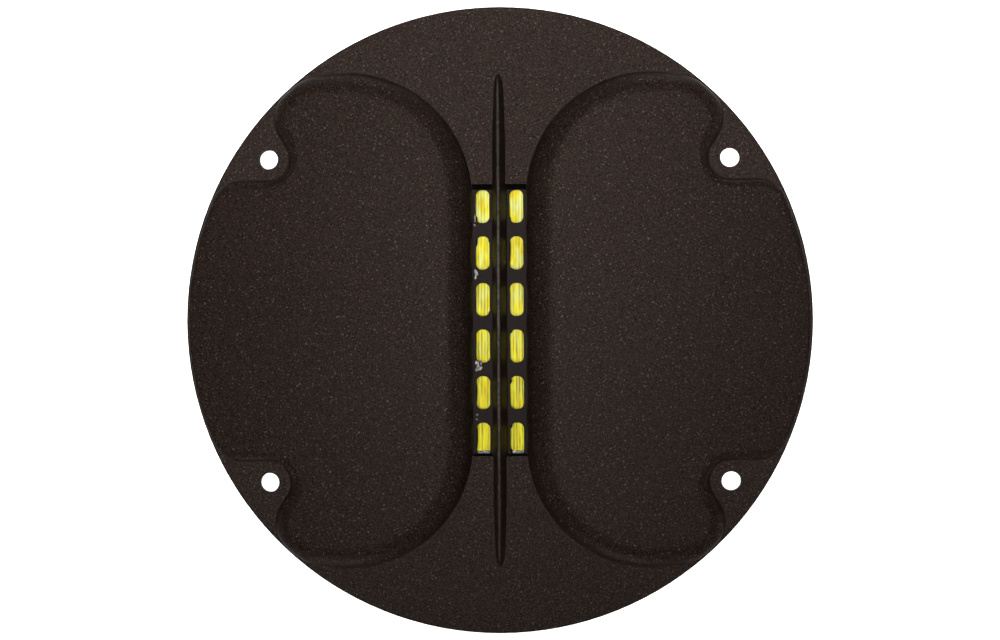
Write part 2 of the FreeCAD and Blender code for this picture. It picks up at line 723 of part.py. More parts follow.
def film_surround():
    """The embossed slope between the clamped edge and the flat panel, which flexes."""
    outer = (WINDOW_HALF_X, WINDOW_HALF_Y, WINDOW_CORNER)
    inner = (PANEL_HALF_X, PANEL_HALF_Y, PANEL_CORNER)
    ends = ((BORDER_FRONT_Z, PANEL_FRONT_Z), (BORDER_REAR_Z, PANEL_REAR_Z))
    hills = []
    for low, high in ends:
        hills.append(Part.makeLoft([outline_at(*outer, low), outline_at(*inner, high)], True, True))
    hill = hills[0].fuse(rounded_block(*outer, BORDER_REAR_Z, BORDER_FRONT_Z))
    hollow = rounded_block(*inner, PANEL_REAR_Z, PANEL_FRONT_Z + PAST)
    return hill.cut(hills[1]).cut(hollow)


def stitch_places():
    """Where the bridge passes through the film: at the coil's inner end and outside its last turn."""
    outer_x = INNER_TRACE_X + (COIL_TURNS - 1) * TRACE_PITCH
    return [(INNER_TRACE_X, -TRACE_STRAIGHT_Y), (outer_x, -BRIDGE_OUTER_END_Y)]


def film_panel():
    """The flat moving part of the film."""
    half_x, half_y = PANEL_HALF_X - PANEL_GAP, PANEL_HALF_Y - PANEL_GAP
    levels = (PANEL_REAR_Z - PAST, PANEL_FRONT_Z + PAST)
    holes = [rod(x, y, *levels, STITCH_RADIUS) for x, y in stitch_places()]
    return film_sheet(half_x, half_y, PANEL_CORNER - PANEL_GAP, PANEL_REAR_Z, PANEL_FRONT_Z, holes)


def coil_side(offset):
    """One edge of the coil's conductor, offset from its centre line towards the outside of the turns."""
    last = COIL_TURNS - 1
    straight = TRACE_STRAIGHT_Y
    edges = []
    for turn in range(COIL_TURNS):
        x = INNER_TRACE_X + turn * TRACE_PITCH
        edges.append(line((x + offset, -straight), (x + offset, straight)))
        edges.append(arc((0, straight), x + offset, 0, 180))
        end_y = -straight if turn < last else -(PANEL_HALF_Y - PANEL_GAP)
        edges.append(line((-x - offset, straight), (-x - offset, end_y)))
        if turn < last:
            edges.append(arc((TRACE_PITCH / 2, -straight), x + TRACE_PITCH / 2 + offset, 180, 360))
    return edges


def voice_coil():
    """The etched aluminium conductor on the back of the film: one spiral round the centre magnet."""
    half = TRACE_WIDTH / 2
    start_y = -TRACE_STRAIGHT_Y
    end_y = -(PANEL_HALF_Y - PANEL_GAP)
    end_x = -(INNER_TRACE_X + (COIL_TURNS - 1) * TRACE_PITCH)
    caps = [
        line((INNER_TRACE_X - half, start_y), (INNER_TRACE_X + half, start_y)),
        line((end_x - half, end_y), (end_x + half, end_y)),
    ]
    outline = wire(coil_side(-half) + coil_side(half) + caps)
    return prism(outline, PANEL_REAR_Z - FOIL_THICKNESS, PANEL_REAR_Z)


def band(start, end, width, low_z, high_z):
    """A straight flat conductor between two (x, y) points, with square ends a half-width past them."""
    length = math.dist(start, end)
    along = ((end[0] - start[0]) / length, (end[1] - start[1]) / length)
    across = (-along[1] * width / 2, along[0] * width / 2)
    corners = []
    for point, way in ((start, -1), (end, 1)):
        x = point[0] + way * along[0] * width / 2
        y = point[1] + way * along[1] * width / 2
        corners += [(x - way * across[0], y - way * across[1]), (x + way * across[0], y + way * across[1])]
    return prism(polygon(corners), low_z, high_z)


def coil_bridge():
    """The jumper on the front of the film, from the coil's inner end over the turns to its lead."""
    inner, outer = stitch_places()
    bridge = band(inner, outer, TRACE_WIDTH, PANEL_FRONT_Z, PANEL_FRONT_Z + FOIL_THICKNESS)
    stitches = [rod(x, y, PANEL_REAR_Z, PANEL_FRONT_Z, STITCH_RADIUS) for x, y in (inner, outer)]
    half = TRACE_WIDTH / 2
    lead_y = (-(PANEL_HALF_Y - PANEL_GAP), -BRIDGE_OUTER_END_Y + half)
    lead_z = (PANEL_REAR_Z - FOIL_THICKNESS, PANEL_REAR_Z)
    lead = box((outer[0] - half, outer[0] + half), lead_y, lead_z)
    return fused([bridge, lead] + stitches)


def coil_tails():
    """The coil's two leads where they cross the flexing surround."""
    half = TRACE_WIDTH / 2
    points = [
        (-PANEL_HALF_Y, PANEL_REAR_Z),
        (-WINDOW_HALF_Y, BORDER_REAR_Z),
        (-WINDOW_HALF_Y, BORDER_REAR_Z - FOIL_THICKNESS),
        (-PANEL_HALF_Y, PANEL_REAR_Z - FOIL_THICKNESS),
    ]
    tails = []
    for side in (-1, 1):
        x = side * (INNER_TRACE_X + (COIL_TURNS - 1) * TRACE_PITCH)
        profile = Part.makePolygon([Vector(x - half, y, z) for y, z in points + points[:1]])
        tails.append(Part.Face(profile).extrude(Vector(TRACE_WIDTH, 0, 0)))
    return Part.makeCompound(tails)


def contact_pads():
    """The two foil pads on the film's lower border, where the contact strips press."""
    pads = []
    for side in (-1, 1):
        across = (side * TERMINAL_X - PAD_HALF_WIDTH, side * TERMINAL_X + PAD_HALF_WIDTH)
        levels = (BORDER_REAR_Z - FOIL_THICKNESS, BORDER_REAR_Z)
        pads.append(box(across, (-PAD_OUTER_Y, -WINDOW_HALF_Y), levels))
    return Part.makeCompound(pads)


def end_beads():
    """Two low beads of damping compound across the ends of the moving panel."""
    across = (-END_BEAD_HALF_X, END_BEAD_HALF_X)
    levels = (PANEL_FRONT_Z, PANEL_FRONT_Z + END_BEAD_HEIGHT)
    low = box(across, (-LOW_BEAD_Y - END_BEAD_WIDTH, -LOW_BEAD_Y), levels)
    high = box(across, (HIGH_BEAD_Y, HIGH_BEAD_Y + END_BEAD_WIDTH), levels)
    return Part.makeCompound([low.cut(coil_bridge()), high])


# ================================================================ rear chamber
def damping_cloth():
    """The fine cloth glued over the rear plate's slots."""
    half_x, half_y = WINDOW_HALF_X - CLOTH_MARGIN, WINDOW_HALF_Y - CLOTH_MARGIN
    corner = WINDOW_CORNER - CLOTH_MARGIN
    return rounded_block(half_x, half_y, corner, REAR_PLATE_REAR_Z - CLOTH_THICKNESS, REAR_PLATE_REAR_Z)


def chamber_seal():
    """The foam gasket between the rear plate and the chamber."""
    low, high = SEAL_REAR_Z, REAR_PLATE_REAR_Z
    openings = [window(low - PAST, high + PAST)] + strip_notches(low - PAST, high + PAST)
    return motor_plate(low, high, openings)


def board_stake_places():
    """Where the chamber's pins hold the terminal board."""
    x = (RAIL_INNER_X + BOARD_HALF_X) / 2
    return [(side * x, z) for side in (-1, 1) for z in STAKE_LEVELS]


def rear_chamber():
    """The moulded back chamber: flange, round-edged box, and rails with pins for the terminal board."""
    low, high = CHAMBER_FLANGE_REAR_Z, SEAL_REAR_Z
    flange = motor_plate(low, high, strip_notches(low - PAST, high + PAST))
    shell = rounded_block(CHAMBER_HALF_X, CHAMBER_HALF_Y, CHAMBER_CORNER, CHAMBER_BACK_Z, low)
    shell = shell.makeFillet(CHAMBER_EDGE_ROUND, edges_at_z(shell, CHAMBER_BACK_Z))
    solids = [flange, shell]
    for side in (-1, 1):
        across = sorted((side * RAIL_INNER_X, side * BOARD_HALF_X))
        wall_y = -CHAMBER_HALF_Y + CHAMBER_WALL / 2
        solids.append(box(across, (-BOARD_INNER_Y, wall_y), (BOARD_BOTTOM_Z, BOARD_TOP_Z)))
    for x, z in board_stake_places():
        solids.append(pin_from_wall(x, z, BOARD_INNER_Y - BOARD_GAP / 2, BOARD_OUTER_Y, STAKE_RADIUS))
        head = pin_from_wall(x, z, BOARD_OUTER_Y, BOARD_OUTER_Y + STAKE_HEAD, STAKE_HEAD_RADIUS)
        solids.append(head)
    inner_x, inner_y = CHAMBER_HALF_X - CHAMBER_WALL, CHAMBER_HALF_Y - CHAMBER_WALL
    inner_corner = CHAMBER_CORNER - CHAMBER_WALL
    hollow = rounded_block(inner_x, inner_y, inner_corner, CHAMBER_FLOOR_Z, high + PAST)
    return fused(solids).cut(hollow)


def chamber_felt():
    """The block of absorbent felt on the floor of the chamber."""
    half_x = CHAMBER_HALF_X - CHAMBER_WALL - FELT_MARGIN
    half_y = CHAMBER_HALF_Y - CHAMBER_WALL - FELT_MARGIN
    return rounded_block(half_x, half_y, FELT_CORNER, CHAMBER_FLOOR_Z, CHAMBER_FLOOR_Z + FELT_THICKNESS)


# ================================================================ terminals
def terminal_board():
    """The laminate board on the chamber's lower end, which carries both terminals."""
    across = (-BOARD_HALF_X, BOARD_HALF_X)
    board = box(across, (-BOARD_OUTER_Y, -BOARD_INNER_Y), (BOARD_BOTTOM_Z, BOARD_TOP_Z))
    corners = [edge for edge in board.Edges if edge.BoundBox.YLength > BOARD_THICKNESS / 2]
    board = board.makeFillet(BOARD_CORNER, corners)
    holes = []
    radius = STAKE_RADIUS + STAKE_CLEARANCE
    for x, z in board_stake_places():
        holes.append(pin_from_wall(x, z, BOARD_INNER_Y - PAST, BOARD_OUTER_Y + PAST, radius))
    return cut_all(board, holes + [rivet_hole(side) for side in (-1, 1)])


def rivet_hole(side):
    """The hole through everything that one terminal rivet holds."""
    radius = RIVET_RADIUS + RIVET_CLEARANCE
    return pin_from_wall(side * TERMINAL_X, RIVET_Z, BOARD_INNER_Y - PAST, STRIP_OUTER_Y + PAST, radius)


def terminal_rivets():
    """One tubular rivet through each contact strip, tab, washer and the board."""
    rivets = []
    for side in (-1, 1):
        x = side * TERMINAL_X
        shank = pin_from_wall(x, RIVET_Z, BOARD_INNER_Y, STRIP_OUTER_Y, RIVET_RADIUS)
        inner = pin_from_wall(x, RIVET_Z, BOARD_INNER_Y - RIVET_HEAD, BOARD_INNER_Y, RIVET_HEAD_RADIUS)
        outer = pin_from_wall(x, RIVET_Z, STRIP_OUTER_Y, STRIP_OUTER_Y + RIVET_HEAD, RIVET_HEAD_RADIUS)
        face_y = -STRIP_OUTER_Y - RIVET_HEAD
        rim = [edge for edge in outer.Edges if abs(edge.BoundBox.YMax - face_y) < 1e-6]
        outer = outer.makeFillet(RIVET_HEAD_ROUND, rim)
        bore_start = STRIP_OUTER_Y + RIVET_HEAD - RIVET_BORE_DEPTH
        bore = pin_from_wall(x, RIVET_Z, bore_start, STRIP_OUTER_Y + PAST, RIVET_BORE)
        rivets.append(fused([shank, inner, outer]).cut(bore))
    return Part.makeCompound(rivets)


def washer(side):
    """The fibre washer between a tab and the board, which marks the polarity."""
    disc = pin_from_wall(side * TERMINAL_X, RIVET_Z, BOARD_OUTER_Y, TAB_INNER_Y, WASHER_RADIUS)
    return disc.cut(rivet_hole(side))


def tab(side, half_width, hole_radius):
    """A push-on blade, cranked outwards below its rivet, with a latching hole near its tip."""
    inner, outer = -TAB_INNER_Y, -TAB_OUTER_Y
    profile = [
        (inner, TAB_TOP_Z),
        (inner, TAB_STEP_TOP_Z),
        (inner - TAB_STEP, TAB_STEP_BOTTOM_Z),
        (inner - TAB_STEP, TAB_END_Z),
        (outer - TAB_STEP, TAB_END_Z),
        (outer - TAB_STEP, TAB_STEP_BOTTOM_Z),
        (outer, TAB_STEP_TOP_Z),
        (outer, TAB_TOP_Z),
    ]
    x = side * TERMINAL_X
    outline = Part.makePolygon([Vector(x - half_width, y, z) for y, z in profile + profile[:1]])
    blade = Part.Face(outline).extrude(Vector(2 * half_width, 0, 0))
    corners = [
        edge
        for edge in blade.Edges
        if edge.BoundBox.YLength > TAB_THICKNESS / 2
        and edge.BoundBox.XLength < 1e-6
        and edge.BoundBox.ZMax < TAB_END_Z + 1e-6
    ]
    blade = blade.makeChamfer(TAB_TIP_CHAMFER * half_width / POSITIVE_TAB_HALF_WIDTH, corners)
    latch = pin_from_wall(x, TAB_HOLE_Z, BOARD_OUTER_Y, TAB_OUTER_Y + TAB_STEP + PAST, hole_radius)
    return blade.cut(latch).cut(rivet_hole(side))


def contact_strip(side):
    """A thin brass strip from a pad on the film, out past the plates and back to the rivet."""
    top = BORDER_REAR_Z - FOIL_THICKNESS
    x = side * TERMINAL_X
    flat_z = (top - STRIP_THICKNESS, top)
    across = (x - STRIP_HALF_WIDTH, x + STRIP_HALF_WIDTH)
    flat = box(across, (-STRIP_OUTER_Y, -STRIP_INNER_Y), flat_z)
    drop = box(across, (-STRIP_OUTER_Y, -TAB_OUTER_Y), (STRIP_END_Z, top))
    strip = fused([flat, drop])
    bend = [
        edge
        for edge in strip.Edges
        if edge.BoundBox.ZMin > top - 1e-6 and abs(edge.BoundBox.YMax + STRIP_OUTER_Y) < 1e-6
    ]
    return strip.makeFillet(STRIP_BEND, bend).cut(rivet_hole(side))


# ================================================================ all the pieces
def main():
    """Builds every piece, moves the motor's pieces to their place and writes one file each."""
    os.makedirs(OUT, exist_ok=True)
    beds = [strip_bed(REAR_SPACER_FRONT_Z - PAST, BORDER_REAR_Z + PAST)]
    motor = {
        "front_pole_plate": front_pole_plate(),
        "front_spacer": front_spacer(),
        "front_film_gasket": film_gasket(BORDER_FRONT_Z, FRONT_SPACER_REAR_Z, []),
        "film_border": film_border(),
        "film_surround": film_surround(),
        "film_panel": film_panel(),
        "voice_coil": voice_coil(),
        "coil_bridge": coil_bridge(),
        "coil_tails": coil_tails(),
        "contact_pads": contact_pads(),
        "end_beads": end_beads(),
        "rear_film_gasket": film_gasket(REAR_SPACER_FRONT_Z, BORDER_REAR_Z, beds),
        "rear_spacer": rear_spacer(),
        "rear_pole_plate": rear_pole_plate(),
        "damping_cloth": damping_cloth(),
        "chamber_seal": chamber_seal(),
        "rear_chamber": rear_chamber(),
        "chamber_felt": chamber_felt(),
        "motor_screws": motor_screws(),
        "terminal_board": terminal_board(),
        "terminal_rivets": terminal_rivets(),
        "positive_washer": washer(1),
        "negative_washer": washer(-1),
        "positive_tab": tab(1, POSITIVE_TAB_HALF_WIDTH, POSITIVE_TAB_HOLE),
        "negative_tab": tab(-1, NEGATIVE_TAB_HALF_WIDTH, NEGATIVE_TAB_HOLE),
        "positive_contact_strip": contact_strip(1),
        "negative_contact_strip": contact_strip(-1),
    }
    motor.update(magnet_row("front", FRONT_PLATE_REAR_Z - MAGNET_THICKNESS))
    motor.update(magnet_row("rear", REAR_PLATE_FRONT_Z))
    for name, shape in motor.items():
        save(name, at_motor(shape))
    save("waveguide_plate", waveguide_plate())
    save("mounting_gasket", mounting_gasket())
    save("glue_squeeze_out", glue_squeeze_out())


main()
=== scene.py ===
# %% [markdown]
# # A planar magnetic tweeter
# The object is a high-frequency loudspeaker. Its front is a round die-cast plate with two rolled
# lobes, a narrow throat between them and a thin fin down the middle. Under the throat lie a slotted
# steel plate and a yellow film that carries a flat etched coil. Magnets, spacers and a closed back
# box are stacked behind.
# The hard parts come from the engineering model, so they stay as they are and only get their
# finishes here. The soft and runny parts, such as foam, felt, cloth and glue, are modelled below,
# because a drawing office draws them as plain blocks.

# %% Load the model as a fixed frame
import math

import bmesh
import bpy
from mathutils import Matrix, Vector, noise
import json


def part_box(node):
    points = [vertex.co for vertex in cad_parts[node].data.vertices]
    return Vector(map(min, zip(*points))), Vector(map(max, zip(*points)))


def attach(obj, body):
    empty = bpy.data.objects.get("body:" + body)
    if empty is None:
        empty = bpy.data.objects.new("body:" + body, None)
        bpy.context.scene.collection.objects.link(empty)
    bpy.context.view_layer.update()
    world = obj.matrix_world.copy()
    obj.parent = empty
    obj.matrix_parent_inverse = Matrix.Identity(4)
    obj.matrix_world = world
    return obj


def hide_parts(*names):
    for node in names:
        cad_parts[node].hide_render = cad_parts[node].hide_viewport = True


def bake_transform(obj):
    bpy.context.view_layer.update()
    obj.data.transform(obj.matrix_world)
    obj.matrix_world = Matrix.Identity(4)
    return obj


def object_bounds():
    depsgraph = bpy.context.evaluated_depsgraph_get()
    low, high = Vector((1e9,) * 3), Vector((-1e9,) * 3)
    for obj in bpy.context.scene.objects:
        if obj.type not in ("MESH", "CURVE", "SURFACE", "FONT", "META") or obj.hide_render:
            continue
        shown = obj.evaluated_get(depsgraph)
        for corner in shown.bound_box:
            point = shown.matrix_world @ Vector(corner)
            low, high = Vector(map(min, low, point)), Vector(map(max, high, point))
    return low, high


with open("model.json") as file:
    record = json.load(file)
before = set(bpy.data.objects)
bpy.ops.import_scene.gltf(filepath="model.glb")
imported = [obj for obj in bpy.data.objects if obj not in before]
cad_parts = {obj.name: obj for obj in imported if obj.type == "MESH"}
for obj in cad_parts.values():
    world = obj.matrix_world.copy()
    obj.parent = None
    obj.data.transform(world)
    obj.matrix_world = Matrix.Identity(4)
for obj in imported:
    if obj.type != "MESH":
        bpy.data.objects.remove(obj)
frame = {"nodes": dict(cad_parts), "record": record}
cad_low, cad_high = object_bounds()
nodes = frame["nodes"]
MM = 0.001
print("pieces in the frame:", len(nodes))
print("size in mm:", [round(side / MM, 1) for side in cad_high - cad_low])

# %% [markdown]
# ## Colours and nodes
# Colours are written the way a paint shop or a web page writes them, as sRGB hex. Blender's shaders
# want linear light, so one function converts them. A second small function adds any node to a
# material: it takes the node's settings by name, and each input as a number, a colour or another
# node's output.

# %% Colours and nodes
def linear(code):
    """The linear RGBA of an sRGB colour written as six hex digits."""
    parts = [int(code[i : i + 2], 16) / 255 for i in (0, 2, 4)]
    bent = [c / 12.92 if c <= 0.04045 else ((c + 0.055) / 1.055) ** 2.4 for c in parts]
    return (*bent, 1.0)


def add(tree, kind, inputs=None, **settings):
    """Adds a node, sets it up, and sets or links each of its inputs."""
    node = tree.nodes.new(kind)
    for name, value in settings.items():
        setattr(node, name, value)
    for name, value in (inputs or {}).items():
        if isinstance(value, bpy.types.NodeSocket):
            tree.links.new(value, node.inputs[name])
        else:
            node.inputs[name].default_value = value
    return node


def new_finish(name, colour, **surface):
    """A new material with its shader's fixed values set, and what its nodes join on to."""
    material = bpy.data.materials.new(name)
    material.use_nodes = True
    tree = material.node_tree
    shader = tree.nodes["Principled BSDF"]
    shader.inputs["Base Color"].default_value = linear(colour)
    for socket, value in surface.items():
        shader.inputs[socket.replace("_", " ").title().replace("Ior", "IOR")].default_value = value
    place = add(tree, "ShaderNodeTexCoord").outputs["Object"]
    return material, tree, shader, place


print("sRGB middle grey in linear light:", round(linear("808080")[0], 3))

# %% [markdown]
# ## What most finishes share
# A pattern's scale is worked out from a real size in millimetres, and its coordinates are turned a
# little, because a flat face that lies along a noise's own grid shows stripes. Colours are laid over
# each other as a painter does it, each by its own amount. In many finishes one pattern gives both
# the tone and the relief, so the dips come out darker.

# %% What most finishes share
ODD_ANGLES = (0.5, 0.35, 0.8)


def turned(tree, place):
    """The coordinates turned to odd angles, so that no flat face lies along a noise's own grid."""
    mapping = add(tree, "ShaderNodeMapping", {"Vector": place, "Rotation": ODD_ANGLES})
    return mapping.outputs["Vector"]


def per_metre(millimetres):
    """The texture scale that makes a pattern's unit this many millimetres wide."""
    return 1 / (millimetres * MM)


def tones_and_relief(tree, shader, share, tones, height, strength, depth_mm):
    """Colours a surface between two tones by a share, and raises its relief by a height."""
    dark, light = (linear(code) for code in tones)
    colour = add(tree, "ShaderNodeMix", {"Factor": share, 6: dark, 7: light}, data_type="RGBA")
    tree.links.new(colour.outputs[2], shader.inputs["Base Color"])
    relief = add(
        tree, "ShaderNodeBump", {"Height": height, "Strength": strength, "Distance": depth_mm * MM}
    )
    tree.links.new(relief.outputs["Normal"], shader.inputs["Normal"])


def layered(tree, shader, ground, layers):
    """Lays colours over a ground, each by its own amount, the last one on top."""
    colour = linear(ground)
    for amount, over in layers:
        mixed = add(
            tree, "ShaderNodeMix", {"Factor": amount, 6: colour, 7: linear(over)}, data_type="RGBA"
        )
        colour = mixed.outputs[2]
    tree.links.new(colour, shader.inputs["Base Color"])


print("a pattern 2 mm wide has a scale of", round(per_metre(2)))

# %% [markdown]
# ## Fine-textured powder coat
# The casting is sprayed with polyester powder and baked. A fine-texture powder shrinks into a skin
# of tiny domes, a quarter of a millimetre apart, so it looks matt from afar and glitters in points
# close by. The domes are a noise for the bump and the grain of the colour, and a second noise
# paints glints on a few of them as lighter points of colour. The thin ridge of the fin gets a
# painted highlight, a soft pale band along it that is found from the object's own coordinates.

# %% Painted highlight on the ridge of the fin
RIDGE_LEVEL_MM = 7.2
RIDGE_FADE_MM = 0.3
RIDGE_HALF_MM = 0.27
RIDGE_CORE_MM = 0.12
BREAKUP_MM = 0.6
# The painted highlight on the fin is strongest in its middle, fully out to the first distance, and
# weakest past the second.
HIGHLIGHT_MIDDLE_MM = 14
HIGHLIGHT_END_MM = 26
END_SHARE = 0.35


def ridge_highlight(tree, place):
    """A painted highlight: one on the fin's thin ridge, fading to nothing down its sides."""
    axes = add(tree, "ShaderNodeSeparateXYZ", {"Vector": place})
    aside = add(tree, "ShaderNodeMath", {0: axes.outputs["X"]}, operation="ABSOLUTE")
    narrow = add(
        tree,
        "ShaderNodeMapRange",
        {
            "Value": aside.outputs[0],
            "From Min": RIDGE_HALF_MM * MM,
            "From Max": RIDGE_CORE_MM * MM,
        },
    )
    high = add(
        tree,
        "ShaderNodeMapRange",
        {
            "Value": axes.outputs["Z"],
            "From Min": RIDGE_LEVEL_MM * MM,
            "From Max": (RIDGE_LEVEL_MM + RIDGE_FADE_MM) * MM,
        },
    )
    along = add(tree, "ShaderNodeMath", {0: axes.outputs["Y"]}, operation="ABSOLUTE")
    middle = add(
        tree,
        "ShaderNodeMapRange",
        {
            "Value": along.outputs[0],
            "From Min": HIGHLIGHT_END_MM * MM,
            "From Max": HIGHLIGHT_MIDDLE_MM * MM,
            "To Min": END_SHARE,
        },
    )
    breakup = add(
        tree, "ShaderNodeTexNoise", {"Vector": place, "Scale": per_metre(BREAKUP_MM), "Detail": 2.0}
    )
    patchy = add(
        tree,
        "ShaderNodeMapRange",
        {"Value": breakup.outputs["Fac"], "From Min": 0.35, "From Max": 0.65},
    )
    broken = add(
        tree, "ShaderNodeMath", {0: patchy.outputs[0], 1: 0.6, 2: 0.4}, operation="MULTIPLY_ADD"
    )
    highlight = high.outputs[0]
    for share in (narrow, middle, broken):
        product = add(
            tree, "ShaderNodeMath", {0: highlight, 1: share.outputs[0]}, operation="MULTIPLY"
        )
        highlight = product.outputs[0]
    return highlight


print("ridge wear starts", RIDGE_LEVEL_MM, "mm above the flange's back")

# %% Fine-textured powder coat
DOME_MM = 0.26
GLINT_MM = 0.3
DRIFT_MM = 14


def powder_coat():
    """Brown-black fine-texture polyester powder on a light-metal casting."""
    material, tree, shader, place = new_finish(
        "powder_coat_fine_texture",
        "150E0C",
        ior=1.5,
        specular_ior_level=0.055,
        specular_tint=linear("EAD3CA"),
    )
    turn = turned(tree, place)
    domes = add(
        tree, "ShaderNodeTexNoise", {"Vector": turn, "Scale": per_metre(DOME_MM), "Detail": 1.5}
    ).outputs["Fac"]
    # Painted glints: a sparse noise lightens a few points of the colour.
    painted_glints = add(
        tree,
        "ShaderNodeTexNoise",
        {"Vector": turn, "Scale": per_metre(GLINT_MM), "Detail": 0.0, "W": 3.0},
        noise_dimensions="4D",
    ).outputs["Fac"]
    drift = add(
        tree, "ShaderNodeTexNoise", {"Vector": turn, "Scale": per_metre(DRIFT_MM), "Detail": 2.0}
    ).outputs["Fac"]
    share = add(tree, "ShaderNodeMapRange", {"Value": domes, "From Min": 0.34, "From Max": 0.7})
    slow = add(tree, "ShaderNodeMapRange", {"Value": drift, "To Min": 0.0, "To Max": 0.25})
    points = add(tree, "ShaderNodeMapRange", {"Value": painted_glints, "From Min": 0.66, "From Max": 0.84})
    # Over the hollows: the domes, the slow drift, the painted glints and the painted ridge
    # highlight.
    layers = [
        (share.outputs["Result"], "30251F"),
        (slow.outputs["Result"], "140E0C"),
        (points.outputs["Result"], "564A45"),
        (ridge_highlight(tree, place), "555049"),
    ]
    layered(tree, shader, "040302", layers)
    gloss = add(tree, "ShaderNodeMapRange", {"Value": domes, "To Min": 0.54, "To Max": 0.36})
    tree.links.new(gloss.outputs["Result"], shader.inputs["Roughness"])
    relief = add(tree, "ShaderNodeBump", {"Height": domes, "Strength": 0.5, "Distance": 0.04 * MM})
    tree.links.new(relief.outputs["Normal"], shader.inputs["Normal"])
    return material


powder = powder_coat()
print("made", powder.name)

# %% [markdown]
# ## The other hard finishes
# Most of them are one idea: a base colour, a little slow variation in tone, a roughness that varies
# with it and a fine relief. One function holds the idea, and each finish gives its own real scale
# and strength.

# %% Hard finishes
def plain_finish(name, dark, light, grain_mm, relief_mm, rough, **surface):
    """A finish whose colour, roughness and relief vary together on one grain size."""
    material, tree, shader, place = new_finish(name, dark, **surface)
    turn = turned(tree, place)
    grain = add(
        tree,
        "ShaderNodeTexNoise",
        {"Vector": turn, "Scale": per_metre(grain_mm), "Detail": 4.0, "Roughness": 0.6},
    )
    share = add(
        tree,
        "ShaderNodeMapRange",
        {"Value": grain.outputs["Fac"], "From Min": 0.32, "From Max": 0.68},
    ).outputs["Result"]
    gloss = add(
        tree, "ShaderNodeMapRange", {"Value": share, "To Min": rough[0], "To Max": rough[1]}
    )
    tree.links.new(gloss.outputs["Result"], shader.inputs["Roughness"])
    tones_and_relief(tree, shader, share, (dark, light), grain.outputs["Fac"], 0.5, relief_mm)
    return material


# Electrophoretic black on punched steel: thin, faintly brown, softer in gloss than paint.
black_steel = plain_finish(
    "electrocoated_steel", "0B0707", "281D1B", 1.0, 0.01, (0.45, 0.6), specular_ior_level=0.05
)
# Nickel plate on sintered magnet: a warm grey metal with a faint orange-peel.
nickel = plain_finish("nickel_plate", "A8A49A", "BDB9AF", 0.8, 0.004, (0.22, 0.34), metallic=1.0)
# Etched aluminium foil, rolled thin: bright, with soft creases.
foil = plain_finish(
    "etched_aluminium_foil", "D2D3D2", "ECECEA", 1.6, 0.02, (0.24, 0.36), metallic=1.0
)
# Glass-filled nylon, moulded: nearly black, with a mottled skin where the fibres lie near it.
nylon = plain_finish("glass_filled_nylon", "202022", "2C2C30", 0.6, 0.012, (0.5, 0.66))
# Bright zinc plate on screw steel.
zinc = plain_finish("bright_zinc_plate", "A6A9B0", "BFC2C7", 1.1, 0.003, (0.22, 0.33), metallic=1.0)
# Tin plate on brass blades: pale and slightly cloudy.
tin = plain_finish("tin_plate", "B5B3AC", "CCCAC3", 1.4, 0.004, (0.26, 0.4), metallic=1.0)
# Half-hard brass strip, rolled and a little tarnished.
brass = plain_finish("rolled_brass", "A8823E", "C9A25A", 2.2, 0.004, (0.24, 0.4), metallic=1.0)
# Moulded back box: ABS with a fine spark-eroded skin.
abs_black = plain_finish("spark_eroded_abs", "202023", "2E2E32", 0.22, 0.03, (0.48, 0.62), ior=1.53)
# Pressed fibre sheet for the film's gaskets.
fibre = plain_finish("pressed_fibre", "CFCBBE", "E4E1D7", 0.35, 0.02, (0.75, 0.9))
# Vulcanised fibre washers, dyed.
red_fibre = plain_finish("red_vulcanised_fibre", "8E1B16", "A82A20", 0.5, 0.01, (0.45, 0.6))
black_fibre = plain_finish("black_vulcanised_fibre", "17171A", "242427", 0.5, 0.01, (0.45, 0.6))
print("hard finishes:", len(bpy.data.materials))

# %% [markdown]
# ## The terminal board's laminate
# The board is layers of brown paper pressed in resin. The layers show as faint lines on its cut
# edges, and the paper makes its faces slightly cloudy. A wave texture gives the lines, and a noise
# gives the cloud.

# %% Laminate
LAYER_MM = 0.18
CLOUD_MM = 1.2
# At a scale of 1, a wave texture's bands are a twentieth of 2 pi apart.
BAND = 2 * math.pi / 20


def paper_laminate():
    """Phenolic paper laminate: brown, satin, with faint layers through its thickness."""
    material, tree, shader, place = new_finish(
        "phenolic_paper_laminate", "5A3220", ior=1.55, roughness=0.4
    )
    scale = BAND * per_metre(LAYER_MM)
    layers = add(
        tree,
        "ShaderNodeTexWave",
        {"Vector": place, "Scale": scale, "Distortion": 1.5, "Detail": 1.0},
        wave_type="BANDS",
        bands_direction="Y",
    )
    cloud = add(
        tree, "ShaderNodeTexNoise", {"Vector": place, "Scale": per_metre(CLOUD_MM), "Detail": 5.0}
    ).outputs["Fac"]
    mixed = add(
        tree, "ShaderNodeMath", {0: layers.outputs["Fac"], 1: cloud}, operation="MULTIPLY"
    )
    tones = ("4A2616", "7C4A2C")
    tones_and_relief(tree, shader, mixed.outputs["Value"], tones, cloud, 0.3, 0.01)
    return material


laminate = paper_laminate()
print("made", laminate.name)

# %% [markdown]
# ## The film
# Polyimide film is a clear amber-yellow. The etched aluminium behind it throws light back through
# it, so the traces look bright yellow, and the narrow gaps between them look like fine olive lines.
# The film is thin and stretched, so it also has upright ripples that make some lines strong and
# others faint, and a painted highlight makes the colour lighter along the ripples. The gaps are
# drawn into the film's colour at the pitch of the traces: the distance from the centre line is
# folded back and forth, as a sheet of paper is, and is nearly nothing at every gap.
# The colour carries painted light that is strongest at the upper end: there it is paler, with pale
# patches of painted highlight, and the gaps are faint. Towards the lower end the patches go and the
# gaps grow darker.

# %% The gaps between the traces
TRACE_PITCH_MM = 0.5
GAP_OFFSET_MM = 0.15
GAP_HALF_MM = 0.12
GAP_CORE_MM = 0.02


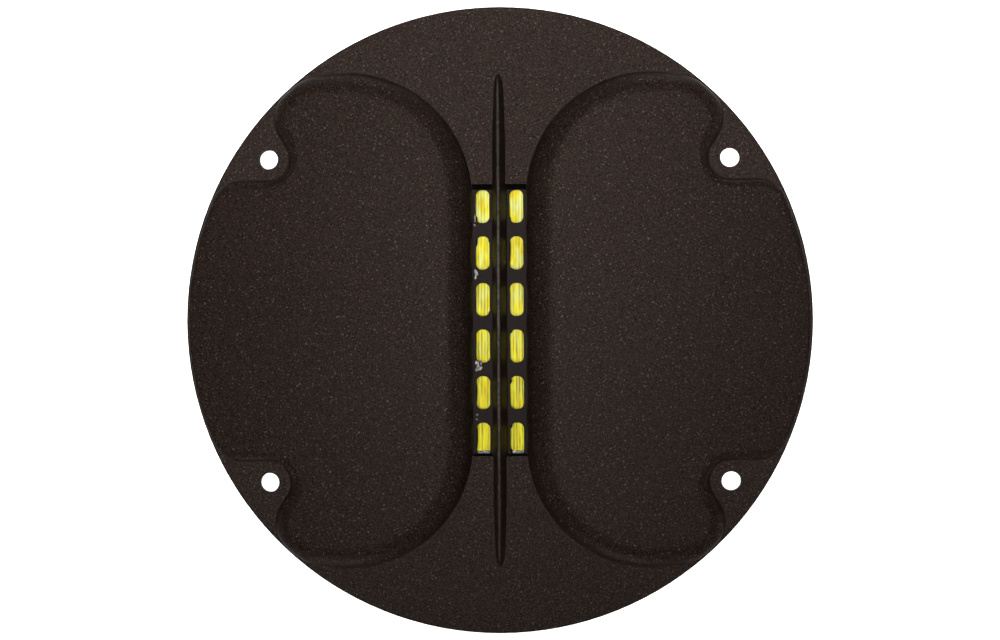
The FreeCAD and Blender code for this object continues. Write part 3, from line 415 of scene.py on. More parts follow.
def trace_gaps(tree, place):
    """One on the gaps between the traces, and nothing on the traces."""
    axes = add(tree, "ShaderNodeSeparateXYZ", {"Vector": place})
    aside = add(tree, "ShaderNodeMath", {0: axes.outputs["X"]}, operation="ABSOLUTE")
    shifted = add(
        tree,
        "ShaderNodeMath",
        {0: aside.outputs[0], 1: GAP_OFFSET_MM * MM},
        operation="SUBTRACT",
    )
    folded = add(
        tree,
        "ShaderNodeMath",
        {0: shifted.outputs[0], 1: TRACE_PITCH_MM / 2 * MM},
        operation="PINGPONG",
    )
    mask = add(
        tree,
        "ShaderNodeMapRange",
        {
            "Value": folded.outputs[0],
            "From Min": GAP_HALF_MM * MM,
            "From Max": GAP_CORE_MM * MM,
        },
    )
    return mask.outputs["Result"]


print("traces are", TRACE_PITCH_MM, "mm apart")

# %% Painted light along the film
LOWER_END_MM = -18
UPPER_END_MM = 22
LOWER_SHARE = 0.05


def painted_light_share(tree, place):
    """Painted light: one at the film's upper end, falling to a small share at its lower end."""
    axes = add(tree, "ShaderNodeSeparateXYZ", {"Vector": place})
    share = add(
        tree,
        "ShaderNodeMapRange",
        {
            "Value": axes.outputs["Y"],
            "From Min": LOWER_END_MM * MM,
            "From Max": UPPER_END_MM * MM,
            "To Min": LOWER_SHARE,
        },
    )
    return share.outputs["Result"]


def long_noise(tree, place, width_mm, stretch, offset, detail, roughness=0.5):
    """A noise drawn out along the film, as its ripples and patches are."""
    drawn_out = add(
        tree,
        "ShaderNodeMapping",
        {"Vector": place, "Scale": (1.0, stretch, 1.0), "Location": offset},
    )
    pattern = add(
        tree,
        "ShaderNodeTexNoise",
        {
            "Vector": drawn_out.outputs["Vector"],
            "Scale": per_metre(width_mm),
            "Detail": detail,
            "Roughness": roughness,
        },
    )
    return pattern.outputs["Fac"]


print("the film grows paler over", UPPER_END_MM - LOWER_END_MM, "mm")

# %% Polyimide film
RIPPLE_MM = 0.45
PATCH_MM = 0.9


def polyimide_film():
    """Amber-yellow polyimide, stretched flat: satin, with the coil's lines in it."""
    material, tree, shader, place = new_finish(
        "polyimide_film", "FFE60A", ior=1.7, roughness=0.45, alpha=0.96, specular_ior_level=0.06
    )
    ripple = long_noise(tree, place, RIPPLE_MM, 0.1, (0.0, 0.0, 0.0), 2.0, 0.6)
    patches = long_noise(tree, place, PATCH_MM, 0.3, (0.013, 0.002, 0.0), 3.0)
    # Painted light: strongest at the film's upper end, where it pales the colour and fades the gaps.
    upper = painted_light_share(tree, place)
    # Painted highlight: the colour is lighter along the ripples.
    share = add(tree, "ShaderNodeMapRange", {"Value": ripple, "From Min": 0.3, "From Max": 0.62})
    warm = add(
        tree,
        "ShaderNodeMapRange",
        {"Value": patches, "From Min": 0.46, "From Max": 0.3, "To Max": 0.7},
    )
    # Pale patches of painted highlight, scaled by the painted light at the upper end.
    pale = add(
        tree,
        "ShaderNodeMapRange",
        {"Value": patches, "From Min": 0.44, "From Max": 0.64, "To Max": 0.85},
    )
    paler = add(tree, "ShaderNodeMath", {0: pale.outputs[0], 1: upper}, operation="MULTIPLY")
    strength = add(
        tree,
        "ShaderNodeMapRange",
        {"Value": ripple, "From Min": 0.62, "From Max": 0.38, "To Min": 0.15, "To Max": 0.95},
    )
    # The gaps fade where the painted light is strong, at the upper end.
    fading = add(
        tree, "ShaderNodeMath", {0: upper, 1: -0.6, 2: 1.15}, operation="MULTIPLY_ADD"
    )
    line = trace_gaps(tree, place)
    for factor in (strength, fading):
        product = add(
            tree, "ShaderNodeMath", {0: line, 1: factor.outputs[0]}, operation="MULTIPLY"
        )
        line = product.outputs[0]
    # Over the dull tone: the painted highlight on the ripples, the warm patches, the pale patches of
    # painted highlight, and the gaps.
    layers = [
        (share.outputs["Result"], "FFF404"),
        (warm.outputs["Result"], "F5C800"),
        (paler.outputs[0], "EEF6A0"),
        (line, "626E00"),
    ]
    layered(tree, shader, "D6C600", layers)
    relief = add(tree, "ShaderNodeBump", {"Height": ripple, "Strength": 0.5, "Distance": 0.03 * MM})
    tree.links.new(relief.outputs["Normal"], shader.inputs["Normal"])
    return material


film = polyimide_film()
print("made", film.name)

# %% [markdown]
# ## Foam, felt, cloth and glue
# The soft finishes are built from what the stuff is made of: cells, hairs or threads. Cells come
# from a Voronoi texture, hairs from a noise that is strongly twisted, threads from two crossed
# waves, and the skin on cured glue from a plain noise. In each, the same pattern makes the colour
# and the relief.

# %% Foam
CELL_MM = 0.35


def cell_foam():
    """Closed-cell foam rubber: black, with cut cells on its faces."""
    material, tree, shader, place = new_finish("closed_cell_foam", "17171A", roughness=0.85)
    turn = turned(tree, place)
    cells = add(
        tree, "ShaderNodeTexVoronoi", {"Vector": turn, "Scale": per_metre(CELL_MM)}
    ).outputs["Distance"]
    tones_and_relief(tree, shader, cells, ("101012", "2C2C30"), cells, 0.8, 0.12)
    return material


foam = cell_foam()
print("made", foam.name)

# %% Felt
HAIR_MM = 0.5


def pressed_felt():
    """Grey wool felt: matted hairs that run every way, with a soft sheen."""
    material, tree, shader, place = new_finish(
        "pressed_wool_felt", "5D5E61", roughness=0.95, sheen_weight=0.4
    )
    turn = turned(tree, place)
    hairs = add(
        tree,
        "ShaderNodeTexNoise",
        {"Vector": turn, "Scale": per_metre(HAIR_MM), "Detail": 8.0, "Distortion": 3.0},
    ).outputs["Fac"]
    tones_and_relief(tree, shader, hairs, ("3A3B3D", "8D8E90"), hairs, 1.0, 0.25)
    return material


felt = pressed_felt()
print("made", felt.name)

# %% Cloth
THREAD_MM = 0.3


def woven_cloth():
    """Black monofilament cloth in plain weave."""
    material, tree, shader, place = new_finish(
        "plain_weave_nylon", "161616", roughness=0.6, sheen_weight=0.2
    )
    scale = BAND * per_metre(THREAD_MM)
    warp, weft = (
        add(tree, "ShaderNodeTexWave", {"Vector": place, "Scale": scale}, bands_direction=axis)
        for axis in "XY"
    )
    weave = add(
        tree,
        "ShaderNodeMath",
        {0: warp.outputs["Fac"], 1: weft.outputs["Fac"]},
        operation="MULTIPLY",
    ).outputs["Value"]
    tones_and_relief(tree, shader, weave, ("0B0B0C", "2F2F31"), weave, 0.8, 0.1)
    return material


cloth = woven_cloth()
print("made", cloth.name)

# %% Glue
SKIN_MM = 0.4


def cured_glue():
    """White contact adhesive, cured: satin, with a wrinkled skin."""
    material, tree, shader, place = new_finish(
        "cured_white_adhesive", "C4BEC0", roughness=0.45, specular_ior_level=0.3
    )
    turn = turned(tree, place)
    skin = add(
        tree, "ShaderNodeTexNoise", {"Vector": turn, "Scale": per_metre(SKIN_MM), "Detail": 3.0}
    ).outputs["Fac"]
    share = add(tree, "ShaderNodeMapRange", {"Value": skin, "From Min": 0.38, "From Max": 0.62})
    tones = ("6E6A62", "D8D3D2")
    tones_and_relief(tree, shader, share.outputs["Result"], tones, skin, 0.6, 0.06)
    return material


glue = cured_glue()
print("all finishes:", len(bpy.data.materials))

# %% [markdown]
# ## Give each carried-over part its finish
# A part of the frame is never moved or remeshed here. Its material slot is simply filled, so a
# dictionary from part to finish says it all.

# %% Finishes on the carried-over parts
finishes = {
    "waveguide_plate": powder,
    "front_pole_plate": black_steel,
    "rear_pole_plate": black_steel,
    "front_spacer": nylon,
    "rear_spacer": nylon,
    "front_film_gasket": fibre,
    "rear_film_gasket": fibre,
    "film_border": film,
    "film_panel": film,
    "voice_coil": foil,
    "coil_bridge": foil,
    "contact_pads": foil,
    "rear_chamber": abs_black,
    "motor_screws": zinc,
    "terminal_board": laminate,
    "positive_tab": tin,
    "negative_tab": tin,
    "terminal_rivets": brass,
    "positive_contact_strip": brass,
    "negative_contact_strip": brass,
    "positive_washer": red_fibre,
    "negative_washer": black_fibre,
}
for side in ("front", "rear"):
    for place_name in ("left", "centre", "right"):
        finishes[f"{side}_magnet_{place_name}"] = nickel

for name, material in finishes.items():
    nodes[name].data.materials.clear()
    nodes[name].data.materials.append(material)
print("parts with a finish:", len(finishes), "of", len(nodes))

# %% [markdown]
# ## Turning a bmesh into a piece
# Every new piece ends the same way: its doubled points are merged, its faces are turned outwards,
# it becomes an object at the origin, it is told which body it rides on, and the plain block it
# stands for is hidden.

# %% Turning a bmesh into a piece
def piece_from(mesh, name, material, body, stands_for=(), smooth_angle=35):
    """Makes a finished piece of a bmesh, riding on a body of the frame."""
    bmesh.ops.remove_doubles(mesh, verts=mesh.verts, dist=1e-7)
    bmesh.ops.recalc_face_normals(mesh, faces=mesh.faces)
    data = bpy.data.meshes.new(name)
    mesh.to_mesh(data)
    mesh.free()
    data.materials.append(material)
    data.shade_smooth()
    data.set_sharp_from_angle(angle=math.radians(smooth_angle))
    piece = bpy.data.objects.new(name, data)
    bpy.context.scene.collection.objects.link(piece)
    if stands_for:
        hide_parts(*stands_for)
    if body:
        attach(piece, body)
    print(name, "has", len(data.vertices), "points")
    return piece


# %% Loops and cut sheets
def rounded_loop(mesh, half_x, half_y, corner, centre, z):
    """A closed loop of edges: a rectangle with round corners."""
    made = bmesh.ops.create_grid(mesh, x_segments=1, y_segments=1, size=1.0)
    shape = Matrix.Translation((*centre, z)) @ Matrix.Diagonal((half_x, half_y, 1, 1))
    bmesh.ops.transform(mesh, matrix=shape, verts=made["verts"])
    bmesh.ops.bevel(
        mesh,
        geom=made["verts"],
        offset=corner,
        offset_type="OFFSET",
        affect="VERTICES",
        segments=8,
        profile=0.5,
        material=-1,
    )
    face = [f for f in mesh.faces if f.is_valid][-1]
    edges = list(face.edges)
    bmesh.ops.delete(mesh, geom=[face], context="FACES_ONLY")
    return edges


def round_loop(mesh, radius, centre, z, segments):
    """A closed loop of edges: a circle."""
    made = bmesh.ops.create_circle(mesh, radius=radius, segments=segments)
    bmesh.ops.translate(mesh, vec=(centre[0], centre[1], z), verts=made["verts"])
    return list({edge for vert in made["verts"] for edge in vert.link_edges})


def soften(mesh, edges, width):
    """Rounds edges with a small bevel."""
    bmesh.ops.bevel(
        mesh, geom=edges, offset=width, affect="EDGES", segments=3, profile=0.5, material=-1
    )


def points_of(result):
    """The points among what a bmesh operator made."""
    return [item for item in result["geom"] if isinstance(item, bmesh.types.BMVert)]


def cut_sheet(mesh, loops, thickness, soft_edge):
    """Fills the area between loops, thickens it downwards and softens its cut edges."""
    edges = [edge for loop in loops for edge in loop]
    filled = bmesh.ops.triangle_fill(mesh, edges=edges, use_beauty=True, use_dissolve=False)
    faces = [f for f in filled["geom"] if isinstance(f, bmesh.types.BMFace)]
    pulled = bmesh.ops.extrude_face_region(mesh, geom=faces)
    bmesh.ops.translate(mesh, vec=(0, 0, -thickness), verts=points_of(pulled))
    bmesh.ops.recalc_face_normals(mesh, faces=mesh.faces)
    rims = [edge for edge in mesh.edges if edge.calc_face_angle(0) > math.radians(60)]
    rims = [edge for edge in rims if abs(edge.verts[0].co.z - edge.verts[1].co.z) < 1e-7]
    soften(mesh, rims, soft_edge)


print("loops and sheets are ready")

# %% [markdown]
# ## The foam ring behind the flange
# A ring of closed-cell foam seals the flange to the baffle. It is stamped from sheet, so its faces
# are flat and its cut edges are slightly soft. It is drawn as circles, filled between them and
# pulled to its thickness.

# %% Foam ring
HOLE_RADIUS = 1.9 * MM
RING_WIDTH = 10 * MM
RING_EDGE = 0.12 * MM
ring_low, ring_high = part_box("mounting_gasket")
bolts = next(m for m in frame["record"]["mounts"] if m["name"] == "flange_holes")
bolt_x = bolts["dims"]["spacing_x_mm"] / 2 * MM
bolt_y = bolts["dims"]["spacing_y_mm"] / 2 * MM


def foam_ring():
    """The stamped ring with its four screw holes."""
    mesh = bmesh.new()
    loops = [round_loop(mesh, ring_high.x, (0, 0), ring_high.z, 192)]
    loops.append(round_loop(mesh, ring_high.x - RING_WIDTH, (0, 0), ring_high.z, 160))
    for sign_x in (-1, 1):
        for sign_y in (-1, 1):
            centre = (sign_x * bolt_x, sign_y * bolt_y)
            loops.append(round_loop(mesh, HOLE_RADIUS, centre, ring_high.z, 32))
    cut_sheet(mesh, loops, ring_high.z - ring_low.z, RING_EDGE)
    return mesh


ring = piece_from(foam_ring(), "foam_ring", foam, "housing", ["mounting_gasket"])

# %% [markdown]
# ## The foam seal, the felt and the cloth of the back box
# They lie inside the stack. The seal is another stamped sheet. The felt is a block cut with a
# knife, so it starts as a cube, gets soft edges, and its surface is pushed in and out by a noise.
# The cloth is glued flat over the rear plate's slots, so it is a fine grid with hardly any waves.

# %% Foam seal
WINDOW_HALF = (7.6 * MM, 28.0 * MM)
WINDOW_CORNER = 3.0 * MM
SEAL_CORNER = 3.0 * MM
SEAL_EDGE = 0.1 * MM
SCREW_PITCH = (12.5 * MM, 27.5 * MM)
SCREW_HOLE_RADIUS = 1.65 * MM
NOTCH_DEPTH = 1.0 * MM
seal_low, seal_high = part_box("chamber_seal")
motor_y = (seal_low.y + seal_high.y) / 2


def foam_seal():
    """The stamped frame between the rear plate and the back box, short of the contact strips."""
    mesh = bmesh.new()
    half = (seal_high.x, (seal_high.y - seal_low.y - NOTCH_DEPTH) / 2)
    middle = (0, motor_y + NOTCH_DEPTH / 2)
    loops = [
        rounded_loop(mesh, *half, SEAL_CORNER, middle, seal_high.z),
        rounded_loop(mesh, *WINDOW_HALF, WINDOW_CORNER, (0, motor_y), seal_high.z),
    ]
    for sign_x in (-1, 1):
        for row in (-1, 0, 1):
            centre = (sign_x * SCREW_PITCH[0], motor_y + row * SCREW_PITCH[1])
            loops.append(round_loop(mesh, SCREW_HOLE_RADIUS, centre, seal_high.z, 24))
    cut_sheet(mesh, loops, seal_high.z - seal_low.z, SEAL_EDGE)
    return mesh


seal = piece_from(foam_seal(), "foam_seal", foam, "housing", ["chamber_seal"])

# %% Felt block
FELT_SHARE = 0.97
FELT_EDGE = 0.9 * MM
FELT_LUMP = 2.5 * MM
FELT_SWELL = 0.12 * MM
felt_low, felt_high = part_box("chamber_felt")


def felt_block():
    """A knife-cut block with soft edges and an uneven surface."""
    mesh = bmesh.new()
    made = bmesh.ops.create_cube(mesh, size=2.0)
    size = (felt_high - felt_low) / 2
    middle = (felt_high + felt_low) / 2
    shape = Matrix.Translation(middle) @ Matrix.Diagonal((*(size * FELT_SHARE), 1))
    bmesh.ops.transform(mesh, matrix=shape, verts=made["verts"])
    soften(mesh, list(mesh.edges), FELT_EDGE)
    bmesh.ops.subdivide_edges(mesh, edges=list(mesh.edges), cuts=7, use_grid_fill=True)
    for vert in mesh.verts:
        wobble = noise.noise(vert.co / FELT_LUMP)
        outward = Vector([(c - m) / s for c, m, s in zip(vert.co, middle, size)]).normalized()
        vert.co += outward * wobble * FELT_SWELL
    return mesh


felt_piece = piece_from(
    felt_block(), "felt_block", felt, "housing", ["chamber_felt"], 80
)

# %% Damping cloth
CLOTH_DEPTH = 0.1 * MM
CLOTH_WAVE = 0.03 * MM
CLOTH_WAVE_LENGTH = 3 * MM
CLOTH_THICKNESS = 0.12 * MM
cloth_low, cloth_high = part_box("damping_cloth")
cloth_size = cloth_high - cloth_low


def cloth_patch():
    """The glued patch, as a fine grid that lies against the plate and is not quite flat."""
    mesh = bmesh.new()
    made = bmesh.ops.create_grid(mesh, x_segments=20, y_segments=72, size=1.0)
    half = cloth_size / 2
    middle = (cloth_high + cloth_low) / 2
    place = Vector((middle.x, middle.y, cloth_high.z - CLOTH_DEPTH))
    shape = Matrix.Translation(place) @ Matrix.Diagonal((half.x, half.y, 1, 1))
    bmesh.ops.transform(mesh, matrix=shape, verts=made["verts"])
    for vert in mesh.verts:
        vert.co.z += CLOTH_WAVE * noise.noise(vert.co / CLOTH_WAVE_LENGTH)
    return mesh


patch = piece_from(
    cloth_patch(), "slot_cloth", cloth, "housing", ["damping_cloth"], 80
)
thread = patch.modifiers.new("thread_thickness", "SOLIDIFY")
thread.thickness = CLOTH_THICKNESS
thread.offset = 0.0

# %% [markdown]
# ## The film's flexing edge and its two leads
# The film is pressed at its edge into a small step, so that the flat middle can move. The
# engineering model draws the step as a straight slope. Here it is drawn as the smooth curve that a
# press makes, between the fixed border and the panel.

# %% Film skirt
skirt_low, skirt_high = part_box("film_surround")
border_low, border_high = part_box("film_border")
panel_low, panel_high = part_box("film_panel")
FILM = border_high.z - border_low.z
SKIRT_STEPS = 8


def step_level(share):
    """The level of the film's rear side, from the border at 0 to the panel at 1."""
    rise = share * share * (3 - 2 * share)
    return border_low.z + rise * (panel_low.z - border_low.z)


def ring_at(mesh, share):
    """One closed loop round the film, from the border at 0 to the panel at 1."""
    inset = share * (skirt_high.x - panel_high.x)
    half = (skirt_high.x - inset, (skirt_high.y - skirt_low.y) / 2 - inset)
    return rounded_loop(mesh, *half, WINDOW_CORNER - inset, (0, motor_y), step_level(share))


def film_skirt():
    """A ruled ring of smooth steps, thickened upwards by the film's own thickness."""
    mesh = bmesh.new()
    rings = [ring_at(mesh, step / SKIRT_STEPS) for step in range(SKIRT_STEPS + 1)]
    for outer, inner in zip(rings, rings[1:]):
        bmesh.ops.bridge_loops(mesh, edges=outer + inner)
    bmesh.ops.recalc_face_normals(mesh, faces=mesh.faces)
    top = bmesh.ops.extrude_face_region(mesh, geom=list(mesh.faces))
    bmesh.ops.translate(mesh, vec=(0, 0, FILM), verts=points_of(top))
    return mesh


skirt = piece_from(film_skirt(), "film_skirt", film, None, ["film_surround"])
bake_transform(skirt)

# %% Leads across the skirt
LEAD_WIDTH = 0.38 * MM
LEAD_THICKNESS = 0.035 * MM
tail_low, tail_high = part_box("coil_tails")


def lead_tails():
    """Two foil leads that follow the pressed step on its rear side."""
    mesh = bmesh.new()
    span = tail_high.y - tail_low.y
    middle_y = (tail_low.y + tail_high.y) / 2
    for side in (-1, 1):
        made = bmesh.ops.create_grid(mesh, x_segments=1, y_segments=SKIRT_STEPS, size=0.5)
        place = Matrix.Translation((side * (tail_high.x - LEAD_WIDTH / 2), middle_y, 0))
        shape = place @ Matrix.Diagonal((LEAD_WIDTH, span, 1, 1))
        bmesh.ops.transform(mesh, matrix=shape, verts=made["verts"])
        for vert in made["verts"]:
            vert.co.z = step_level((vert.co.y - tail_low.y) / span)
    pulled = bmesh.ops.extrude_face_region(mesh, geom=list(mesh.faces))
    bmesh.ops.translate(mesh, vec=(0, 0, -LEAD_THICKNESS), verts=points_of(pulled))
    return mesh


tails = piece_from(lead_tails(), "lead_tails", foil, None, ["coil_tails"])
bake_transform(tails)

# %% [markdown]
# ## Glue
# The plate is bonded to the slotted steel with white adhesive. A little was squeezed out along the
# left wall of the throat, and it cured as small uneven beads. A bead starts as a ball, is flattened
# and roughened, and is cut off where it meets the steel.

# %% Squeezed-out glue
LUMP_SIZE = 0.3 * MM
steel_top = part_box("front_pole_plate")[1].z
wall_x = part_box("glue_squeeze_out")[0].x
# Each bead, in millimetres: (distance from the wall, place along it, half width, half length,
# height above the steel).
BEADS = [
    (0.45, 16.95, 0.1, 0.75, 0.15),
    (0.42, 15.8, 0.16, 0.18, 0.2),
    (0.5, 8.15, 0.22, 0.3, 0.25),
    (0.62, 7.75, 0.3, 0.36, 0.34),
    (0.5, 7.2, 0.18, 0.3, 0.2),
    (0.55, -7.1, 0.16, 0.3, 0.15),
    (0.85, -7.3, 0.2, 0.4, 0.15),
    (1.35, -7.05, 0.14, 0.45, 0.12),
    (0.95, -8.05, 0.5, 0.34, 0.36),
    (1.2, -7.8, 0.35, 0.25, 0.25),
    (0.62, -8.3, 0.2, 0.22, 0.2),
    (0.68, -15.75, 0.2, 0.16, 0.18),
    (0.62, -16.5, 0.16, 0.14, 0.18),
]


def lumps(places, level, raggedness):
    """Flattened, roughened balls, each from its x, y, half width, half length and half height."""
    mesh = bmesh.new()
    for x, y, width, length, height in places:
        made = bmesh.ops.create_icosphere(mesh, subdivisions=4, radius=1.0)
        centre = Vector((x, y, level))
        shape = Matrix.Translation(centre) @ Matrix.Diagonal((width, length, height, 1))
        bmesh.ops.transform(mesh, matrix=shape, verts=made["verts"])
        for vert in made["verts"]:
            vert.co += (vert.co - centre) * raggedness * noise.noise(vert.co / LUMP_SIZE)
    return mesh


def squeezed_beads():
    """Uneven balls beside the wall, cut off at the steel."""
    places = [
        (wall_x + aside * MM, along * MM, width * MM, length * MM, height * MM)
        for aside, along, width, length, height in BEADS
    ]
    mesh = lumps(places, steel_top, 0.5)
    everything = list(mesh.verts) + list(mesh.edges) + list(mesh.faces)
    cut = bmesh.ops.bisect_plane(
        mesh, geom=everything, plane_co=(0, 0, steel_top), plane_no=(0, 0, -1), clear_outer=True
    )
    rim = [e for e in cut["geom_cut"] if isinstance(e, bmesh.types.BMEdge)]
    bmesh.ops.holes_fill(mesh, edges=rim, sides=0)
    return mesh


piece_from(
    squeezed_beads(), "glue_beads", glue, "housing", ["glue_squeeze_out"], 60
)

# %% [markdown]
# ## Black end strips and runs of coating
# A dead-black strip lies on the steel at each end of the throat, a wider one at the upper end and a
# narrow one at the lower end. The electrophoretic coat also gathers in some corners of the slots and
# dries there, so that no two slots have quite the same outline. The strips are two bars with soft
# edges, and the runs are small lumps, made the same way as the glue.

# %% Black strips at the ends of the throat
THROAT_END_Y = 22.6 * MM
THROAT_HALF_X = 4.5 * MM
UPPER_WIDTH = 0.9 * MM
LOWER_WIDTH = 0.4 * MM
END_STRIP_HEIGHT = 0.2 * MM
END_STRIP_EDGE = 0.1 * MM
# Dead black, with almost no gloss, for the strips at the ends of the throat.
dead_black = plain_finish(
    "dead_black_strip_finish", "020202", "070605", 0.5, 0.02, (0.7, 0.85), specular_ior_level=0.02
)


def black_end_strips():
    """A wider strip at the upper end of the throat and a narrow one at the lower end."""
    mesh = bmesh.new()
    for side, width in ((1, UPPER_WIDTH), (-1, LOWER_WIDTH)):
        made = bmesh.ops.create_cube(mesh, size=2.0)
        place = Matrix.Translation((0, side * (THROAT_END_Y - width / 2), steel_top))
        shape = place @ Matrix.Diagonal((THROAT_HALF_X, width / 2, END_STRIP_HEIGHT, 1))
        bmesh.ops.transform(mesh, matrix=shape, verts=made["verts"])
    soften(mesh, list(mesh.edges), END_STRIP_EDGE)
    return mesh


piece_from(black_end_strips(), "throat_end_strips", dead_black, "housing")

# %% Runs of coating in the slots
SLOT_PITCH = 7.75 * MM
SLOT_HALF = (1.14 * MM, 2.75 * MM)
SLOT_COLUMN_X = 2.81 * MM
# Half a run's height, as a share of the steel's thickness.
RUN_SHARE = 0.49
# Each run: (column, row from the upper end, place across, place along, half width, half length),
# with the places in half slots from the slot's centre and the sizes in millimetres.
RUNS = [
    (-1, 0, -1.0, -0.9, 0.3, 0.9),
    (-1, 0, 1.0, -1.0, 0.26, 0.7),
    (-1, 1, -1.05, 0.75, 0.34, 1.0),
    (-1, 1, 1.05, 0.85, 0.26, 0.7),
    (-1, 1, 1.0, -1.0, 0.4, 0.5),
    (-1, 2, 1.0, -0.9, 0.24, 0.6),
    (-1, 4, -1.1, 0.0, 0.26, 2.0),
    (-1, 5, -1.15, 0.1, 0.36, 2.6),
    (1, 0, -1.0, -0.9, 0.24, 0.8),
    (1, 1, -1.1, 0.2, 0.28, 2.4),
    (1, 3, -1.0, 1.0, 0.44, 0.7),
    (1, 3, -1.0, -1.0, 0.4, 0.6),
    (1, 4, -1.05, 0.75, 0.3, 0.7),
    (1, 5, -1.0, 0.95, 0.4, 0.8),
    (1, 5, -1.05, -0.72, 0.34, 0.5),
]


def coat_runs():
    """Lumps of coating that hang a little way into the slots, nearly as thick as the steel."""
    places = []
    for column, row, across, along, width, length in RUNS:
        x = column * SLOT_COLUMN_X + across * SLOT_HALF[0]
        y = motor_y + (2.5 - row) * SLOT_PITCH + along * SLOT_HALF[1]
        places.append((x, y, width * MM, length * MM, steel_top * RUN_SHARE))
    return lumps(places, steel_top / 2, 0.15)


piece_from(coat_runs(), "coat_runs", black_steel, "housing", (), 60)

# %% [markdown]
# ## Compound across the film's ends
# A strip of soft silicone compound is wiped across each end of the moving film, to damp its edges.
# It is low, uneven and a little yellow where the film shows through. Each strip is a fine grid,
# raised in the middle, sunk to its edges, rippled by a noise and closed underneath.

# %% Compound across the film's ends
STRIP_WIDTH = 1.2 * MM
bead_low, bead_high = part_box("end_beads")
# Silicone, wiped on and cured: cloudy off-white, with darker yellowish spots.
compound = plain_finish(
    "silicone_damping_compound", "3E3F2C", "CDD0BC", 0.4, 0.03, (0.5, 0.7)
)


def compound_strips():
    """Two low uneven strips of compound laid across the moving film, closed underneath."""
    mesh = bmesh.new()
    half_x = (bead_high.x - bead_low.x) / 2
    height = bead_high.z - bead_low.z
    for y in (bead_low.y + STRIP_WIDTH / 2, bead_high.y - STRIP_WIDTH / 2):
        made = bmesh.ops.create_grid(mesh, x_segments=60, y_segments=12, size=0.5)
        for vert in made["verts"]:
            u, v = vert.co.x * 2, vert.co.y * 2
            edge = 0.05 + 0.95 * (1 - u**8) * (1 - v**4)
            ripple = 0.8 + 0.35 * noise.noise(Vector((u * 6, v * 1.5, y / MM)))
            z = bead_low.z + height * edge * ripple * 0.9
            vert.co = Vector((u * half_x, y + v * STRIP_WIDTH / 2, z))
    under = bmesh.ops.extrude_face_region(mesh, geom=list(mesh.faces))
    for vert in points_of(under):
        vert.co.z = bead_low.z
    return mesh


piece_from(
    compound_strips(), "compound_strips", compound, "diaphragm", ["end_beads"], 80
)

# %% [markdown]
# ## Floor, light and camera
# The tweeter lies on its back on a plain white table that glows, so the ground stays white through
# the screw holes. The key light is a softbox with a honeycomb grid, high above and a little up the
# table, so its light is nearly frontal and fades towards the lower edge. Four low softboxes round
# the table light the rim, the motor and the terminals, and pass over the throat. Things that mirror
# the table see it dim, as a black card would make it, so that the steep black walls stay black.
# The room's white walls show to the camera and in gloss, but they give almost no light.
# The camera looks down from eight tenths of a metre, a little to the right of the middle.

# %% Floor
TABLE_HALF = 3.0
TABLE_GAP = 0.05 * MM
MIRRORED_GLOW = 0.06


def light_table():
    """A white table top that glows, but only faintly where something mirrors it."""
    mesh = bmesh.new()
    bmesh.ops.create_grid(mesh, x_segments=1, y_segments=1, size=TABLE_HALF)
    bmesh.ops.translate(mesh, vec=(0, 0, cad_low.z - TABLE_GAP), verts=mesh.verts)
    data = bpy.data.meshes.new("light_table")
    mesh.to_mesh(data)
    mesh.free()
    top = bpy.data.objects.new("light_table", data)
    bpy.context.scene.collection.objects.link(top)
    material, tree, shader, _ = new_finish("white_table", "F4F4F4", roughness=0.8)
    shader.inputs["Emission Color"].default_value = linear("FFFFFF")
    mirrored = add(tree, "ShaderNodeLightPath").outputs["Is Glossy Ray"]
    glow = add(
        tree,
        "ShaderNodeMapRange",
        {"Value": mirrored, "To Min": 1.0, "To Max": MIRRORED_GLOW},
    )
    tree.links.new(glow.outputs["Result"], shader.inputs["Emission Strength"])
    data.materials.append(material)
    print(top.name, "is", 2 * TABLE_HALF, "m wide")


light_table()

# %% Softboxes
CENTRE = (0.0, 0.0, 0.0)
BEYOND_UPPER_RIM = (-0.01, 0.115, 0.0)
NARROW_GRID = 12.5
WIDE_GRID = 100
# Each softbox: (name, place, width, power in watts, aim, beam in degrees), in metres.
SOFTBOXES = [
    ("key_softbox", (0.0, 0.06, 1.25), 0.3, 0.345, BEYOND_UPPER_RIM, NARROW_GRID),
    ("left_softbox", (-0.9, -0.4, 0.08), 0.25, 0.2, CENTRE, WIDE_GRID),
    ("right_softbox", (0.9, -0.3, 0.08), 0.25, 0.35, CENTRE, WIDE_GRID),
    ("front_softbox", (-0.15, -0.95, 0.12), 0.3, 0.9, CENTRE, WIDE_GRID),
    ("rear_softbox", (0.1, 0.95, 0.12), 0.3, 0.9, CENTRE, WIDE_GRID),
]


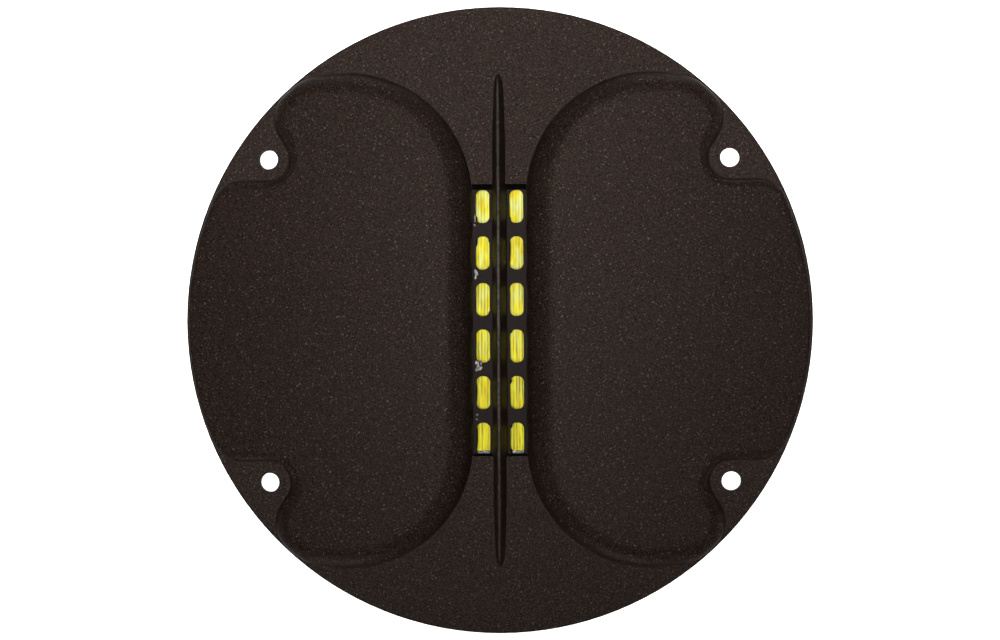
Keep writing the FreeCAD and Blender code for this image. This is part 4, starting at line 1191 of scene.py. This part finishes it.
def softbox(name, place, size, power, aim, beam):
    """A square area lamp aimed at a point, with a honeycomb grid that narrows its beam."""
    lamp = bpy.data.lights.new(name, "AREA")
    lamp.size = size
    lamp.energy = power
    lamp.spread = math.radians(beam)
    holder = bpy.data.objects.new(name, lamp)
    holder.location = place
    holder.rotation_euler = (Vector(aim) - Vector(place)).to_track_quat("-Z", "Y").to_euler()
    holder.visible_camera = False
    bpy.context.scene.collection.objects.link(holder)


for settings in SOFTBOXES:
    softbox(*settings)
print("lamps:", len(bpy.data.lights))

# %% The studio's white walls
ROOM_GLOW = 0.03
ROOM_MIRRORED = 0.5
world = bpy.data.worlds.new("studio")
world.use_nodes = True
path = add(world.node_tree, "ShaderNodeLightPath")
seen = add(
    world.node_tree,
    "ShaderNodeMapRange",
    {"Value": path.outputs["Is Camera Ray"], "To Min": ROOM_GLOW},
)
glow = add(
    world.node_tree,
    "ShaderNodeMath",
    {0: path.outputs["Is Glossy Ray"], 1: ROOM_MIRRORED, 2: seen.outputs[0]},
    operation="MULTIPLY_ADD",
)
background = world.node_tree.nodes["Background"]
background.inputs["Color"].default_value = linear("FFFFFF")
world.node_tree.links.new(glow.outputs[0], background.inputs["Strength"])
bpy.context.scene.world = world
bpy.context.scene.view_settings.view_transform = "Standard"
print("the walls light the object with a strength of", ROOM_GLOW)

# %% Camera
VIEW_DISTANCE = 0.8
VIEW_WIDTH = 165.9 * MM
FRONT_Z = 3 * MM
SENSOR_WIDTH = 36.0
CAMERA_ROLL = math.radians(-0.25)
CAMERA_ASIDE = 27 * MM
AIM = (0.1 * MM, -0.1 * MM)
camera_data = bpy.data.cameras.new("camera")
camera_data.sensor_width = SENSOR_WIDTH
camera_data.lens = SENSOR_WIDTH * VIEW_DISTANCE / VIEW_WIDTH
camera = bpy.data.objects.new("camera", camera_data)
camera.location = (AIM[0] + CAMERA_ASIDE, AIM[1], FRONT_Z + VIEW_DISTANCE)
camera.rotation_euler = (0, math.atan2(CAMERA_ASIDE, VIEW_DISTANCE), CAMERA_ROLL)
bpy.context.scene.collection.objects.link(camera)
bpy.context.scene.camera = camera
print("lens:", round(camera_data.lens), "mm")

# %% Finish
import json
